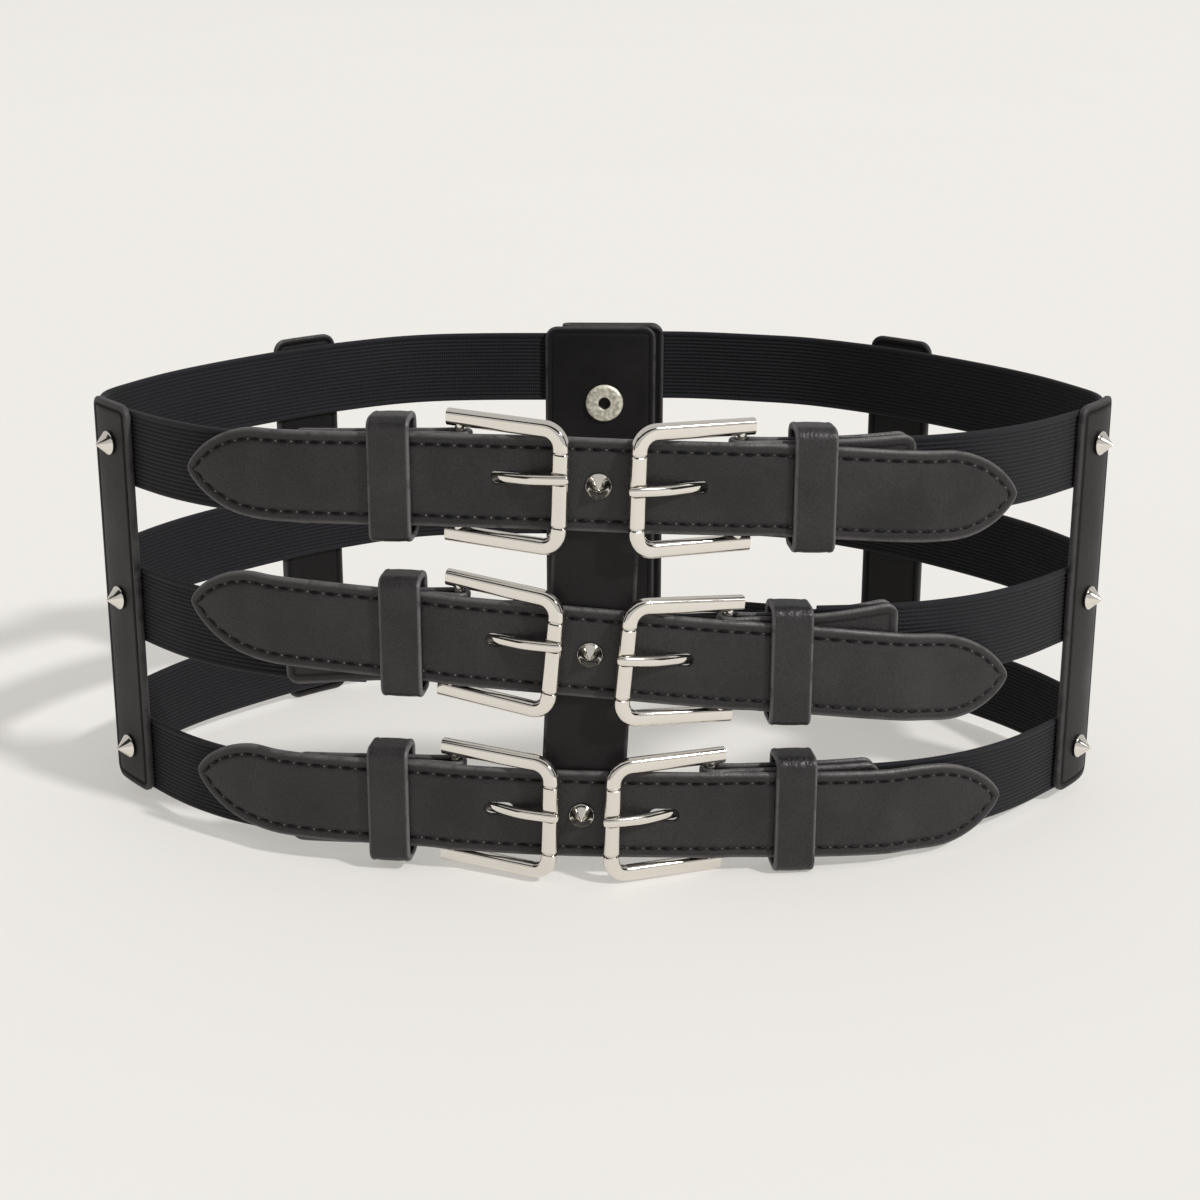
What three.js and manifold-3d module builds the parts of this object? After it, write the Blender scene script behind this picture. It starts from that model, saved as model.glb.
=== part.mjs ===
// Corset belt: three rows of buckled leather straps and elastic bands, held one above
// the other by upright leather strips. Millimetres, +Z up, the front faces -Y.
import * as THREE from 'three';
import { mergeVertices } from 'three/addons/utils/BufferGeometryUtils.js';
import Module from 'manifold-3d';

const wasm = await Module();
wasm.setup();

// Room left between pieces that lie on each other.
const gap = 0.3;

// The loop seen from above, through the middle of the elastic bands.
const halfWidth = 145.8;
const frontDepth = 68;
const backDepth = 94;
const facetTurn = 9;
const facetLength = 12;

// Half of the loop from the middle of the front to the middle of the back. Across is a
// share of halfWidth, along a share of frontDepth (negative) or of backDepth.
const loopTable = [
  { across: 0, along: -1 },
  { across: 0.3, along: -0.957 },
  { across: 0.55, along: -0.865 },
  { across: 0.69, along: -0.73 },
  { across: 0.8, along: -0.55 },
  { across: 0.9, along: -0.315 },
  { across: 0.98, along: -0.085 },
  { across: 0.995, along: 0.06 },
  { across: 0.96, along: 0.19 },
  { across: 0.88, along: 0.385 },
  { across: 0.72, along: 0.65 },
  { across: 0.58, along: 0.825 },
  { across: 0.4, along: 0.965 },
  { across: 0, along: 1 },
];

// Rows, top to bottom.
const rowPitch = 46.35;
const lowestRow = 14.5;
const frontRise = 4.6;
const rowLean = 2.2;

// Leather straps.
const strapWidth = 25;
const strapThickness = 2;
const strapReach = 118;
const tipLength = 23;
const tipBlunt = 0.8;
const tipFullness = 0.62;
const tipLift = 0.5;
const tipDroop = 6.4;
const baseThickness = 1.5;
const baseReach = 47;
const baseCorner = 4;
const foldBlend = 7;
const bandOverlap = 22;

// Elastic bands.
const bandWidth = 22.5;
const bandThickness = 1.6;

// Buckles.
const frameHeight = 36;
const frameLength = 34.5;
const frameCorner = 7;
const barWidth = 4.5;
const barThickness = 3.4;
const barBevel = 0.8;
const barStandoff = 8;
const barNotch = 0.8;
const heelRadius = 1.5;
const heelInset = 3.5;
const tongueWidth = 3.8;
const tongueThickness = 2.2;
const tongueRing = 1.3;
const holeLength = 11;
const holeHeight = 5.6;
const slotHeight = 5;

// Keeper loops.
const keeperWidth = 11.2;
const keeperHeight = 34.2;
const keeperThickness = 1.8;
const keeperCorner = 2.6;

// Studs and spikes.
const studRadius = 3.5;
const studHeight = 4;
const studRim = 0.8;
const postRadius = 1.5;
const rivetRadius = 4;
const rivetThickness = 1;

// Upright strips.
const frontStripWidth = 22.7;
const frontStripEnd = 11;
const stripThickness = 1.5;
const sideStripWidth = 21;
const sideStripThickness = 2;
const sideStripMargin = 0.9;
const sideStripCorner = 4;
const sideStripLift = 1.3;
const backStripWidth = 22;
const backStripShare = 0.65;
const backStripMargin = 3;
const backStripCorner = 4;

// Back closure, measured from the middle of the back, positive to the right.
const closureThickness = 1.2;
const closureTop = 2.5;
const closureCorner = 4;
const innerLeft = -19;
const innerRight = 17.3;
const outerLeft = -13.5;
const outerRight = 20;
const closureOverlap = 12;
const snapAcross = 0.5;
const snapRadius = 6.2;
const snapDisc = 1;
const snapBarrel = 2.5;
const snapEye = 1.9;
const snapShares = [0.21, 0.5, 0.79];

// Rows: slope of the centre strap, how far its tips droop as a share of tipDroop, keeper
// and tip places as shares of strapReach, and buckle places as shares of barStandoff.
const rows = [
  { name: '1', slope: -0.03, droop: 1, level: 2, keeperLeft: 0.46, keeperRight: 0.475,
    tipLeft: 0.97, tipRight: 0.99, buckleLeft: 0.86, buckleRight: 0.89 },
  { name: '2', slope: -0.09, droop: 0.82, level: 1, keeperLeft: 0.425, keeperRight: 0.452,
    tipLeft: 0.965, tipRight: 1.013, buckleLeft: 0.83, buckleRight: 0.79 },
  { name: '3', slope: -0.025, droop: 0.4, level: 0, keeperLeft: 0.445, keeperRight: 0.49,
    tipLeft: 0.958, tipRight: 1.03, buckleLeft: 0.69, buckleRight: 0.66 },
];
// Sides: which columns of the rows are theirs, and how far forward of the loop's widest
// place the middle of the side strip stands.
const sides = [
  { name: 'left', sign: -1, keeper: 'keeperLeft', tip: 'tipLeft', buckle: 'buckleLeft',
    stripForward: 16 },
  { name: 'right', sign: 1, keeper: 'keeperRight', tip: 'tipRight', buckle: 'buckleRight',
    stripForward: 12 },
];

// Offsets outward from the middle of the elastic band.
const bandTop = bandThickness / 2;
const baseGap = bandTop + gap;
const foldGap = heelRadius + gap;
const baseTop = baseGap + baseThickness;
const strapLift = foldGap + baseThickness + gap + strapThickness / 2;
const barDip = 0.5;
const barLift = strapLift + strapThickness / 2 + gap + barThickness / 2 + barDip;
const heelToBar = frameLength - heelInset - barWidth / 2;
const frameTilt = Math.asin(barLift / heelToBar);

const materials = {
  leather: new THREE.MeshStandardMaterial({ color: 0x37343a, roughness: 0.55, metalness: 0 }),
  elastic: new THREE.MeshStandardMaterial({ color: 0x161820, roughness: 0.9, metalness: 0 }),
  nickel: new THREE.MeshStandardMaterial({ color: 0xd9d4ca, roughness: 0.18, metalness: 1 }),
};

// Closed curve of the loop, counterclockwise from the middle of the front.
function makeLoop() {
  const half = loopTable.map(({ across, along }) => {
    const depth = along < 0 ? frontDepth : backDepth;
    return new THREE.Vector3(across * halfWidth, along * depth, 0);
  });
  const mirrored = half.slice(1, -1).reverse().map((p) => new THREE.Vector3(-p.x, p.y, 0));
  const curve = new THREE.CatmullRomCurve3([...half, ...mirrored], true, 'centripetal');
  curve.arcLengthDivisions = 2400;
  return curve;
}

const loop = makeLoop();
const loopLength = loop.getLength();
const up = new THREE.Vector3(0, 0, 1);

// Point, tangent and outward direction at a distance along the loop.
function station(along) {
  const share = (((along / loopLength) % 1) + 1) % 1;
  const point = loop.getPointAt(share);
  const tangent = loop.getTangentAt(share);
  const outward = new THREE.Vector3(tangent.y, -tangent.x, 0);
  return { point, tangent, outward };
}

function place(along, out, height) {
  const { point, outward } = station(along);
  return new THREE.Vector3(point.x + outward.x * out, point.y + outward.y * out, height);
}

// Distances at which every curved piece has a facet edge: a new one after each
// facetTurn degrees or facetLength millimetres.
function makeFacets() {
  const step = 0.5;
  const facets = [0];
  let last = station(0).tangent;
  for (let along = step; along < loopLength / 2; along += step) {
    const { tangent } = station(along);
    const turned = THREE.MathUtils.radToDeg(last.angleTo(tangent));
    if (turned >= facetTurn || along - facets[facets.length - 1] >= facetLength) {
      facets.push(along);
      last = tangent;
    }
  }
  const behind = facets.slice(1).map((along) => loopLength - along).reverse();
  return [...facets, loopLength / 2, ...behind];
}

const facets = makeFacets();

// Facet edges between two distances, with the ends and any extra places of the piece.
function stops(from, to, extra = []) {
  const low = Math.min(from, to);
  const high = Math.max(from, to);
  const shifted = facets.flatMap((along) => [along - loopLength, along]);
  const inside = [...shifted, ...extra].filter((along) => along > low && along < high);
  const sorted = [low, ...inside.sort((a, b) => a - b), high];
  const spaced = sorted.filter((along, i) => i === 0 || along - sorted[i - 1] > 0.05);
  return from < to ? spaced : spaced.reverse();
}

// Distance along the right half of the loop where it reaches a share of halfWidth.
function findAcross(share, behind) {
  let best = 0;
  let miss = Infinity;
  for (let along = 0; along < loopLength / 2; along += 0.25) {
    const { point } = station(along);
    const wanted = Math.abs(point.x - share * halfWidth);
    if (point.y > 0 === behind && wanted < miss) {
      miss = wanted;
      best = along;
    }
  }
  return best;
}

const sideTurn = findAcross(1, false);
const sideStripAt = (side) => side.sign * (sideTurn - side.stripForward);
const backStripAt = findAcross(backStripShare, true);

function rowLevel(row) {
  return lowestRow + row.level * rowPitch;
}

// Height of the middle of an elastic band: it rises towards the middle of the front.
function bandHeight(row, along) {
  const { point } = station(along);
  const share = 1 - (point.x / halfWidth) ** 2;
  return rowLevel(row) + (point.y < 0 ? frontRise * Math.max(share, 0) : 0);
}

function studAt(row) {
  return (row.level - 2) * rowLean;
}

function strapHeight(row, along) {
  const past = along - studAt(row);
  const droop = tipDroop * row.droop * (past / strapReach) ** 2;
  return rowLevel(row) + frontRise + row.slope * past - droop;
}

function heelAt(row, side) {
  const reach = (frameLength - heelInset) * Math.cos(frameTilt);
  return studAt(row) + side.sign * (row[side.buckle] * barStandoff + reach);
}

function baseEndAt(row, side) {
  return heelAt(row, side) + side.sign * baseReach;
}

// Height of the middle of a base strap, from the buckle's line to the band's line.
function baseHeight(row, side, along) {
  const heel = heelAt(row, side);
  const share = THREE.MathUtils.clamp((along - heel) / (baseEndAt(row, side) - heel), 0, 1);
  return THREE.MathUtils.lerp(strapHeight(row, along), bandHeight(row, along), share);
}

function smoothBetween(value, from, to) {
  return THREE.MathUtils.smoothstep(value, from, to);
}

// Offset of the middle of a centre strap: over the heel bar, down on the base strap,
// then down towards the elastic.
function strapOffset(row, along) {
  const side = along < studAt(row) ? sides[0] : sides[1];
  const pastHeel = side.sign * (along - heelAt(row, side));
  const onBase = baseTop + gap + strapThickness / 2;
  const onBand = bandTop + gap + strapThickness / 2 + tipLift;
  const first = THREE.MathUtils.lerp(strapLift, onBase, smoothBetween(pastHeel, 1, foldBlend));
  return THREE.MathUtils.lerp(first, onBand, smoothBetween(pastHeel - baseReach, 1, 12));
}

// Turns the faces outward when the rings ran the other way round.
function facingOut(geometry) {
  const position = geometry.getAttribute('position');
  const index = geometry.getIndex();
  const a = new THREE.Vector3();
  const b = new THREE.Vector3();
  const c = new THREE.Vector3();
  let volume = 0;
  for (let i = 0; i < index.count; i += 3) {
    a.fromBufferAttribute(position, index.getX(i));
    b.fromBufferAttribute(position, index.getX(i + 1));
    c.fromBufferAttribute(position, index.getX(i + 2));
    volume += a.dot(b.cross(c));
  }
  if (volume < 0) {
    for (let i = 0; i < index.count; i += 3) {
      const first = index.getX(i);
      index.setX(i, index.getX(i + 1));
      index.setX(i + 1, first);
    }
  }
  geometry.computeVertexNormals();
  return geometry;
}

// Body through rings of equally many points, capped at both ends or closed on itself.
function throughRings(rings, closed = false) {
  const count = rings[0].length;
  const index = [];
  const spans = closed ? rings.length : rings.length - 1;
  for (let r = 0; r < spans; r += 1) {
    const next = (r + 1) % rings.length;
    for (let k = 0; k < count; k += 1) {
      const across = (k + 1) % count;
      const a = r * count + k;
      const b = r * count + across;
      const c = next * count + k;
      const d = next * count + across;
      index.push(a, b, d, a, d, c);
    }
  }
  if (!closed) {
    const last = (rings.length - 1) * count;
    for (let k = 1; k < count - 1; k += 1) {
      index.push(0, k + 1, k);
      index.push(last, last + k, last + k + 1);
    }
  }
  const geometry = new THREE.BufferGeometry().setFromPoints(rings.flat());
  geometry.setIndex(index);
  return facingOut(geometry);
}

// Solid of a closed geometry, for cutting and joining.
function toSolid(geometry) {
  const bare = geometry.clone();
  bare.deleteAttribute('normal');
  bare.deleteAttribute('uv');
  const merged = mergeVertices(bare, 1e-4);
  return new wasm.Manifold(new wasm.Mesh({
    numProp: 3,
    vertProperties: new Float32Array(merged.getAttribute('position').array),
    triVerts: new Uint32Array(merged.getIndex().array),
  }));
}

function fromSolid(solid) {
  const { vertProperties, triVerts } = solid.getMesh();
  const geometry = new THREE.BufferGeometry();
  geometry.setAttribute('position', new THREE.BufferAttribute(vertProperties, 3));
  geometry.setIndex(new THREE.BufferAttribute(triVerts, 1));
  geometry.computeVertexNormals();
  return geometry;
}

function cut(geometry, cutters) {
  let solid = toSolid(geometry);
  for (const cutter of cutters) {
    solid = solid.subtract(toSolid(cutter));
  }
  return fromSolid(solid);
}

// Axes at a place on the loop: x along it, y up, z outward, turned by roll about z.
function seat(along, out, height, roll = 0) {
  const { tangent, outward } = station(along);
  const matrix = new THREE.Matrix4().makeBasis(tangent, up, outward);
  matrix.setPosition(place(along, out, height));
  return matrix.multiply(new THREE.Matrix4().makeRotationZ(roll));
}

// Cutter through the leather at a place on the loop: a slot with round ends.
function ovalCutter(matrix, length, height) {
  const depth = 6 * strapThickness;
  const radius = height / 2;
  const straight = (length - height) / 2 + 0.01;
  const oval = new THREE.Shape();
  oval.absarc(straight, 0, radius, -Math.PI / 2, Math.PI / 2);
  oval.absarc(-straight, 0, radius, Math.PI / 2, 1.5 * Math.PI);
  oval.closePath();
  const geometry = new THREE.ExtrudeGeometry(oval, {
    depth, bevelEnabled: false, curveSegments: 3,
  });
  geometry.translate(0, 0, -depth / 2);
  return geometry.applyMatrix4(matrix);
}

// Half height of a strip near an end with rounded corners.
function cornerHeight(half, corner, fromEnd) {
  const inside = Math.max(corner - fromEnd, 0);
  return half - corner + Math.sqrt(Math.max(corner ** 2 - inside ** 2, 0));
}

const cornerShares = [0.12, 0.45, 1];

function cornerStops(end, corner, inward) {
  return cornerShares.map((share) => end + inward * share * corner);
}

// Strip that follows the loop. At each stop, shape gives its middle offset and height.
function loopStrip(alongs, thickness, shape) {
  const rings = alongs.map((along) => {
    const { out, height, half } = shape(along);
    const inner = out - thickness / 2;
    const outer = out + thickness / 2;
    return [
      place(along, inner, height - half),
      place(along, outer, height - half),
      place(along, outer, height + half),
      place(along, inner, height + half),
    ];
  });
  return throughRings(rings);
}

// Course of a leather layer that runs in from its end, round a fold and back out.
function foldCourse({ end, fold, sign, middle, openGap, roundGap, blend, thickness }) {
  const layer = (along) => {
    const near = 1 - smoothBetween(Math.abs(along - fold), 0, blend);
    return THREE.MathUtils.lerp(openGap, roundGap, near) + thickness / 2;
  };
  const corners = cornerStops(end, baseCorner, -sign);
  const blendStops = [0.5, 1].map((share) => fold + sign * share * blend);
  const inward = stops(end, fold, [...corners, ...blendStops]);
  const course = inward.map((along) => ({ along, out: middle + layer(along) }));
  const turns = 4;
  for (let turn = 1; turn < turns; turn += 1) {
    const angle = (turn / turns) * Math.PI;
    const radius = roundGap + thickness / 2;
    course.push({
      along: fold - sign * radius * Math.sin(angle),
      out: middle + radius * Math.cos(angle),
    });
  }
  inward.reverse().forEach((along) => course.push({ along, out: middle - layer(along) }));
  return course;
}

// Leather folded round a fold line, as one body of even thickness. Lean is the slope of
// the line's foot, as on a heel bar that is turned with its strap.
function foldedLeather(course, thickness, shape) {
  const rings = course.map(({ along, out }, i) => {
    const before = course[Math.max(i - 1, 0)];
    const after = course[Math.min(i + 1, course.length - 1)];
    const run = new THREE.Vector2(after.along - before.along, after.out - before.out);
    run.normalize().multiplyScalar(thickness / 2);
    const { height, half, lean } = shape(along);
    const low = along + lean * half;
    const high = along - lean * half;
    return [
      place(low - run.y, out + run.x, height - half),
      place(low + run.y, out - run.x, height - half),
      place(high + run.y, out - run.x, height + half),
      place(high - run.y, out + run.x, height + half),
    ];
  });
  return throughRings(rings);
}

const belt = new THREE.Group();

function add(name, geometry, material, matrix = new THREE.Matrix4()) {
  const mesh = new THREE.Mesh(geometry, material);
  mesh.name = name;
  mesh.position.setFromMatrixPosition(matrix);
  mesh.quaternion.setFromRotationMatrix(matrix);
  belt.add(mesh);
}

// Lathe about the outward direction, from pairs of radius and height.
const turnedSides = 10;

function turned(profile) {
  const points = profile.map(([radius, height]) => new THREE.Vector2(radius, height));
  const geometry = new THREE.LatheGeometry(points, turnedSides);
  geometry.deleteAttribute('normal');
  geometry.deleteAttribute('uv');
  return facingOut(mergeVertices(geometry.rotateX(Math.PI / 2), 1e-4));
}

// Double-ended strap with pointed tips, tongue holes and a stud hole.
function centreStrap(row) {
  const ends = sides.map((side) => studAt(row) + side.sign * strapReach * row[side.tip]);
  const tipStops = [0.05, 0.16, 0.32, 0.55, 0.8];
  const extra = [];
  sides.forEach((side, i) => {
    tipStops.forEach((share) => extra.push(ends[i] - side.sign * share * tipLength));
    [1, foldBlend].forEach((past) => extra.push(heelAt(row, side) + side.sign * past));
    [1, 6, 12].forEach((past) => extra.push(baseEndAt(row, side) + side.sign * past));
  });
  const strap = loopStrip(stops(ends[0], ends[1], extra), strapThickness, (along) => {
    const fromEnd = Math.min(along - ends[0], ends[1] - along);
    const share = THREE.MathUtils.clamp(1 - fromEnd / tipLength, 0, 1);
    const taper = (1 - share ** 2) ** tipFullness;
    return {
      out: strapOffset(row, along),
      height: strapHeight(row, along),
      half: THREE.MathUtils.lerp(tipBlunt, strapWidth / 2, taper),
    };
  });
  const roll = Math.atan(row.slope);
  const cutters = sides.map((side) => {
    const along = heelAt(row, side) - side.sign * holeCentre;
    return ovalCutter(
      seat(along, strapLift, strapHeight(row, along), roll), holeLength, holeHeight);
  });
  const stud = seat(studAt(row), strapLift, strapHeight(row, studAt(row)));
  const studHole = 2 * (postRadius + gap);
  return cut(strap, [...cutters, ovalCutter(stud, studHole, studHole)]);
}

// Base strap: folded round the heel bar, with the elastic's end between its layers and
// a slot for the tongue.
function baseStrap(row, side) {
  const heel = heelAt(row, side);
  const end = baseEndAt(row, side);
  const course = foldCourse({
    end, fold: heel, sign: side.sign, middle: 0, openGap: baseGap, roundGap: foldGap,
    blend: foldBlend, thickness: baseThickness,
  });
  const strap = foldedLeather(course, baseThickness, (along) => ({
    height: baseHeight(row, side, along),
    half: cornerHeight(strapWidth / 2, baseCorner, Math.abs(end - along)),
    lean: row.slope * THREE.MathUtils.clamp(Math.abs(end - along) / baseReach, 0, 1),
  }));
  const slotLength = 2 * (foldGap + baseThickness) + 3;
  const slot = new THREE.BoxGeometry(slotLength, slotHeight, 2 * slotLength);
  slot.translate(-slotLength * 0.1, 0, 0);
  slot.applyMatrix4(heelSeat(row, side));
  return cut(strap, [slot]);
}

const cornerSteps = 3;

// Frame in its own axes: x away from the middle of the belt, z outward, heel bar at 0.
function buckleFrame() {
  const far = heelInset;
  const near = heelInset - frameLength + barWidth / 2;
  const rise = (frameHeight - barWidth) / 2;
  const bend = frameCorner - barWidth / 2;
  const course = [{ x: far, y: rise, angle: 90 }];
  for (const [corner, start] of [[1, 90], [-1, 180]]) {
    for (let step = 0; step <= cornerSteps; step += 1) {
      const angle = start + (step / cornerSteps) * 90;
      const turn = THREE.MathUtils.degToRad(angle);
      course.push({
        x: near + bend + bend * Math.cos(turn),
        y: corner * (rise - bend) + bend * Math.sin(turn),
        angle,
      });
    }
  }
  course.push({ x: far, y: -rise, angle: 270 });
  const w = barWidth / 2;
  const t = barThickness / 2;
  const b = barBevel;
  const section = [
    [-w, -t + b], [-w + b, -t], [w - b, -t], [w, -t + b],
    [w, t - b], [w - b, t], [-w + b, t], [-w, t - b],
  ];
  const rings = course.map(({ x, y, angle }) => {
    const turn = THREE.MathUtils.degToRad(angle);
    return section.map(([across, out]) => new THREE.Vector3(
      x + across * Math.cos(turn), y + across * Math.sin(turn), out));
  });
  const heel = new THREE.CylinderGeometry(heelRadius, heelRadius, 2 * rise, 12);
  const notch = new THREE.BoxGeometry(2 * barWidth, tongueWidth + 2 * gap, barNotch);
  notch.translate(near, 0, t - barNotch / 2 + 0.01);
  const joined = toSolid(throughRings(rings)).add(toSolid(heel)).subtract(toSolid(notch));
  return fromSolid(joined);
}

// Place of a tongue: at its heel bar, x away from the middle of the belt.
function heelSeat(row, side) {
  const heel = heelAt(row, side);
  const roll = Math.atan(row.slope) + (side.sign < 0 ? Math.PI : 0);
  return seat(heel, 0, strapHeight(row, heel), roll);
}

// Place of a frame: as its tongue's, with the front bar leaning outward.
function frameSeat(row, side) {
  return heelSeat(row, side).multiply(new THREE.Matrix4().makeRotationY(frameTilt));
}

// Course of the tongue past its ring: along is a share of the heel bar's distance to
// the front bar, lift a share of the height from the ring's top to the bar's seat.
const tongueTable = [
  { along: 0.18, lift: 0.01, thickness: 0.62, width: 1 },
  { along: 0.33, lift: 0.03, thickness: 0.62, width: 1 },
  { along: 0.48, lift: 0.3, thickness: 0.85, width: 1 },
  { along: 0.65, lift: 0.64, thickness: 1, width: 1 },
  { along: 0.8, lift: 0.82, thickness: 1, width: 1 },
  { along: 1, lift: 1, thickness: 1, width: 0.95 },
  { along: 1.06, lift: 1.035, thickness: 0.9, width: 0.9 },
  { along: 1.1, lift: 1.04, thickness: 0.5, width: 0.75 },
];
const holeCentre = 0.5 * heelToBar * Math.cos(frameTilt);
const tongueSeat = barLift + (barThickness / 2 - barNotch) + gap + tongueThickness / 2;

// Tongue in belt axes: x away from the middle, z outward, heel bar at 0.
function buckleTongue() {
  const radius = heelRadius + 0.2 + tongueRing / 2;
  const course = [];
  const steps = 6;
  for (let step = 0; step <= steps; step += 1) {
    const angle = THREE.MathUtils.degToRad(200 + (step / steps) * 250);
    course.push({
      x: radius * Math.cos(angle), z: radius * Math.sin(angle),
      thickness: tongueRing, width: tongueWidth,
    });
  }
  const reach = heelToBar * Math.cos(frameTilt);
  for (const { along, lift, thickness, width } of tongueTable) {
    course.push({
      x: -along * reach,
      z: THREE.MathUtils.lerp(radius, tongueSeat, lift),
      thickness: thickness * tongueThickness,
      width: width * tongueWidth,
    });
  }
  const rings = course.map(({ x, z, thickness, width }, i) => {
    const before = course[Math.max(i - 1, 0)];
    const after = course[Math.min(i + 1, course.length - 1)];
    const run = new THREE.Vector2(after.x - before.x, after.z - before.z).normalize();
    const bevel = thickness * 0.3;
    const t = thickness / 2;
    const w = width / 2;
    const section = [
      [-w, -t], [w, -t], [w, t - bevel], [w - bevel, t], [-w + bevel, t], [-w, t - bevel],
    ];
    return section.map(([across, out]) => new THREE.Vector3(
      x + run.y * out, across, z - run.x * out));
  });
  return throughRings(rings);
}

// Keeper loop round the base strap and the centre strap.
function keeper(row, side) {
  const along = studAt(row) + side.sign * row[side.keeper] * strapReach;
  const inner = -(baseTop + gap);
  const outer = baseTop + gap + strapThickness + gap;
  const middleAt = (at) => (strapHeight(row, at) + baseHeight(row, side, at)) / 2;
  const halfOut = (outer - inner + keeperThickness) / 2;
  const halfUp = (keeperHeight - keeperThickness) / 2;
  const outMiddle = (outer + inner) / 2;
  const bend = keeperCorner;
  const rings = [];
  for (let corner = 0; corner < 4; corner += 1) {
    for (let step = 0; step <= 2; step += 1) {
      const angle = (corner + step / 2) * (Math.PI / 2);
      const toOut = corner === 0 || corner === 3 ? 1 : -1;
      const toUp = corner < 2 ? 1 : -1;
      const out = outMiddle + toOut * (halfOut - bend) + bend * Math.cos(angle);
      const height = toUp * (halfUp - bend) + bend * Math.sin(angle);
      const t = keeperThickness / 2;
      const w = keeperWidth / 2;
      rings.push([[-w, -t], [w, -t], [w, t], [-w, t]].map(([past, thick]) => place(
        along + past,
        out + thick * Math.cos(angle),
        middleAt(along + past) + height + thick * Math.sin(angle))));
    }
  }
  return throughRings(rings, true);
}

// Cone stud whose rim sits on the strap, with a post and a rivet behind the strip.
function centreStud() {
  const rim = strapThickness / 2 + gap;
  const back = -(strapThickness / 2 + gap + stripThickness + gap);
  return turned([
    [0, back - rivetThickness],
    [rivetRadius, back - rivetThickness],
    [rivetRadius, back],
    [postRadius, back],
    [postRadius, rim],
    [studRadius, rim],
    [studRadius, rim + studRim],
    [0, rim + studHeight],
  ]);
}

// Cone spike on a side strip, its post inside the strip.
function sideSpike() {
  const rim = sideStripThickness / 2 + gap;
  return turned([
    [0, -sideStripThickness / 2],
    [postRadius, -sideStripThickness / 2],
    [postRadius, rim],
    [studRadius, rim],
    [studRadius, rim + studRim],
    [0, rim + studHeight],
  ]);
}

const frontStripOut = strapLift - strapThickness / 2 - gap - stripThickness / 2;

// Front strip: upright, leaning with the studs.
function frontStrip() {
  const [top, , bottom] = rows.map((row) => strapHeight(row, studAt(row)));
  const shares = [0, 0.5, 1];
  const rings = shares.map((share) => {
    const height = THREE.MathUtils.lerp(bottom - frontStripEnd, top + frontStripEnd, share);
    const middle = ((height - top) / rowPitch) * rowLean;
    const left = middle - frontStripWidth / 2;
    const right = middle + frontStripWidth / 2;
    const inner = frontStripOut - stripThickness / 2;
    const outer = frontStripOut + stripThickness / 2;
    return [
      place(left, inner, height), place(left, outer, height), place(middle, outer, height),
      place(right, outer, height), place(right, inner, height), place(middle, inner, height),
    ];
  });
  const hole = 2 * (postRadius + gap);
  return cut(throughRings(rings), rows.map((row) => ovalCutter(
    seat(studAt(row), strapLift, strapHeight(row, studAt(row))), hole, hole)));
}

// Level on which the lowest buckles stand.
function restLevel() {
  const row = rows[rows.length - 1];
  const lows = sides.map((side) => {
    const frame = buckleFrame().applyMatrix4(frameSeat(row, side));
    frame.computeBoundingBox();
    return frame.boundingBox.min.z;
  });
  return Math.min(...lows);
}

const lowestBand = lowestRow - bandWidth / 2;
const highestBand = lowestRow + 2 * rowPitch + bandWidth / 2;
const sideStripOut = bandTop + gap + sideStripThickness / 2;

// Upright strip on the outside of the bands, with rounded corners.
function uprightStrip({ at, width, thickness, out, below, above, corner }) {
  const from = at - width / 2;
  const to = at + width / 2;
  const extra = [...cornerStops(from, corner, 1), ...cornerStops(to, corner, -1)];
  const low = lowestBand - below;
  const high = highestBand + above;
  return loopStrip(stops(from, to, extra), thickness, (along) => ({
    out,
    height: (low + high) / 2,
    half: cornerHeight((high - low) / 2, corner, Math.min(along - from, to - along)),
  }));
}

function sideStrip(side) {
  const at = sideStripAt(side);
  const strip = uprightStrip({
    at, width: sideStripWidth, thickness: sideStripThickness, out: sideStripOut,
    below: sideStripMargin - sideStripLift, above: sideStripMargin + sideStripLift,
    corner: sideStripCorner,
  });
  const hole = 2 * (postRadius + gap);
  return cut(strip, rows.map((row) => ovalCutter(
    seat(at, sideStripOut, rowLevel(row) + sideStripLift), hole, hole)));
}

// Distance along the loop of a place at the back, measured from its middle.
function behindAt(across) {
  return loopLength / 2 - across;
}

const innerOut = -(bandTop + gap + closureThickness / 2);
const outerMiddle = bandTop + gap + closureThickness + gap + bandTop;
const closureLow = restLevel();
const closureHigh = highestBand + closureTop;

function snapHeight(share) {
  return THREE.MathUtils.lerp(closureLow, closureHigh, share);
}

const snapHole = 2 * (snapBarrel + gap);

function snapCutters() {
  return snapShares.map((share) => ovalCutter(
    seat(behindAt(snapAcross), outerMiddle / 2, snapHeight(share)), snapHole, snapHole));
}

// Inner placket: a plate inside the ends of the left bands.
function closureInner() {
  const plate = uprightStrip({
    at: behindAt((innerLeft + innerRight) / 2),
    width: innerRight - innerLeft,
    thickness: closureThickness,
    out: innerOut,
    below: lowestBand - closureLow,
    above: closureTop,
    corner: closureCorner,
  });
  return cut(plate, snapCutters());
}

// Outer placket: folded leather that holds the ends of the right bands.
function closureOuter() {
  const end = behindAt(outerRight);
  const roundGap = bandTop + gap;
  const course = foldCourse({
    end, fold: behindAt(outerLeft + roundGap + closureThickness), sign: -1,
    middle: outerMiddle, openGap: roundGap, roundGap, blend: foldBlend,
    thickness: closureThickness,
  });
  const placket = foldedLeather(course, closureThickness, (along) => ({
    height: (closureLow + closureHigh) / 2,
    half: cornerHeight((closureHigh - closureLow) / 2, closureCorner, Math.abs(end - along)),
    lean: 0,
  }));
  return cut(placket, snapCutters());
}

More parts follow.
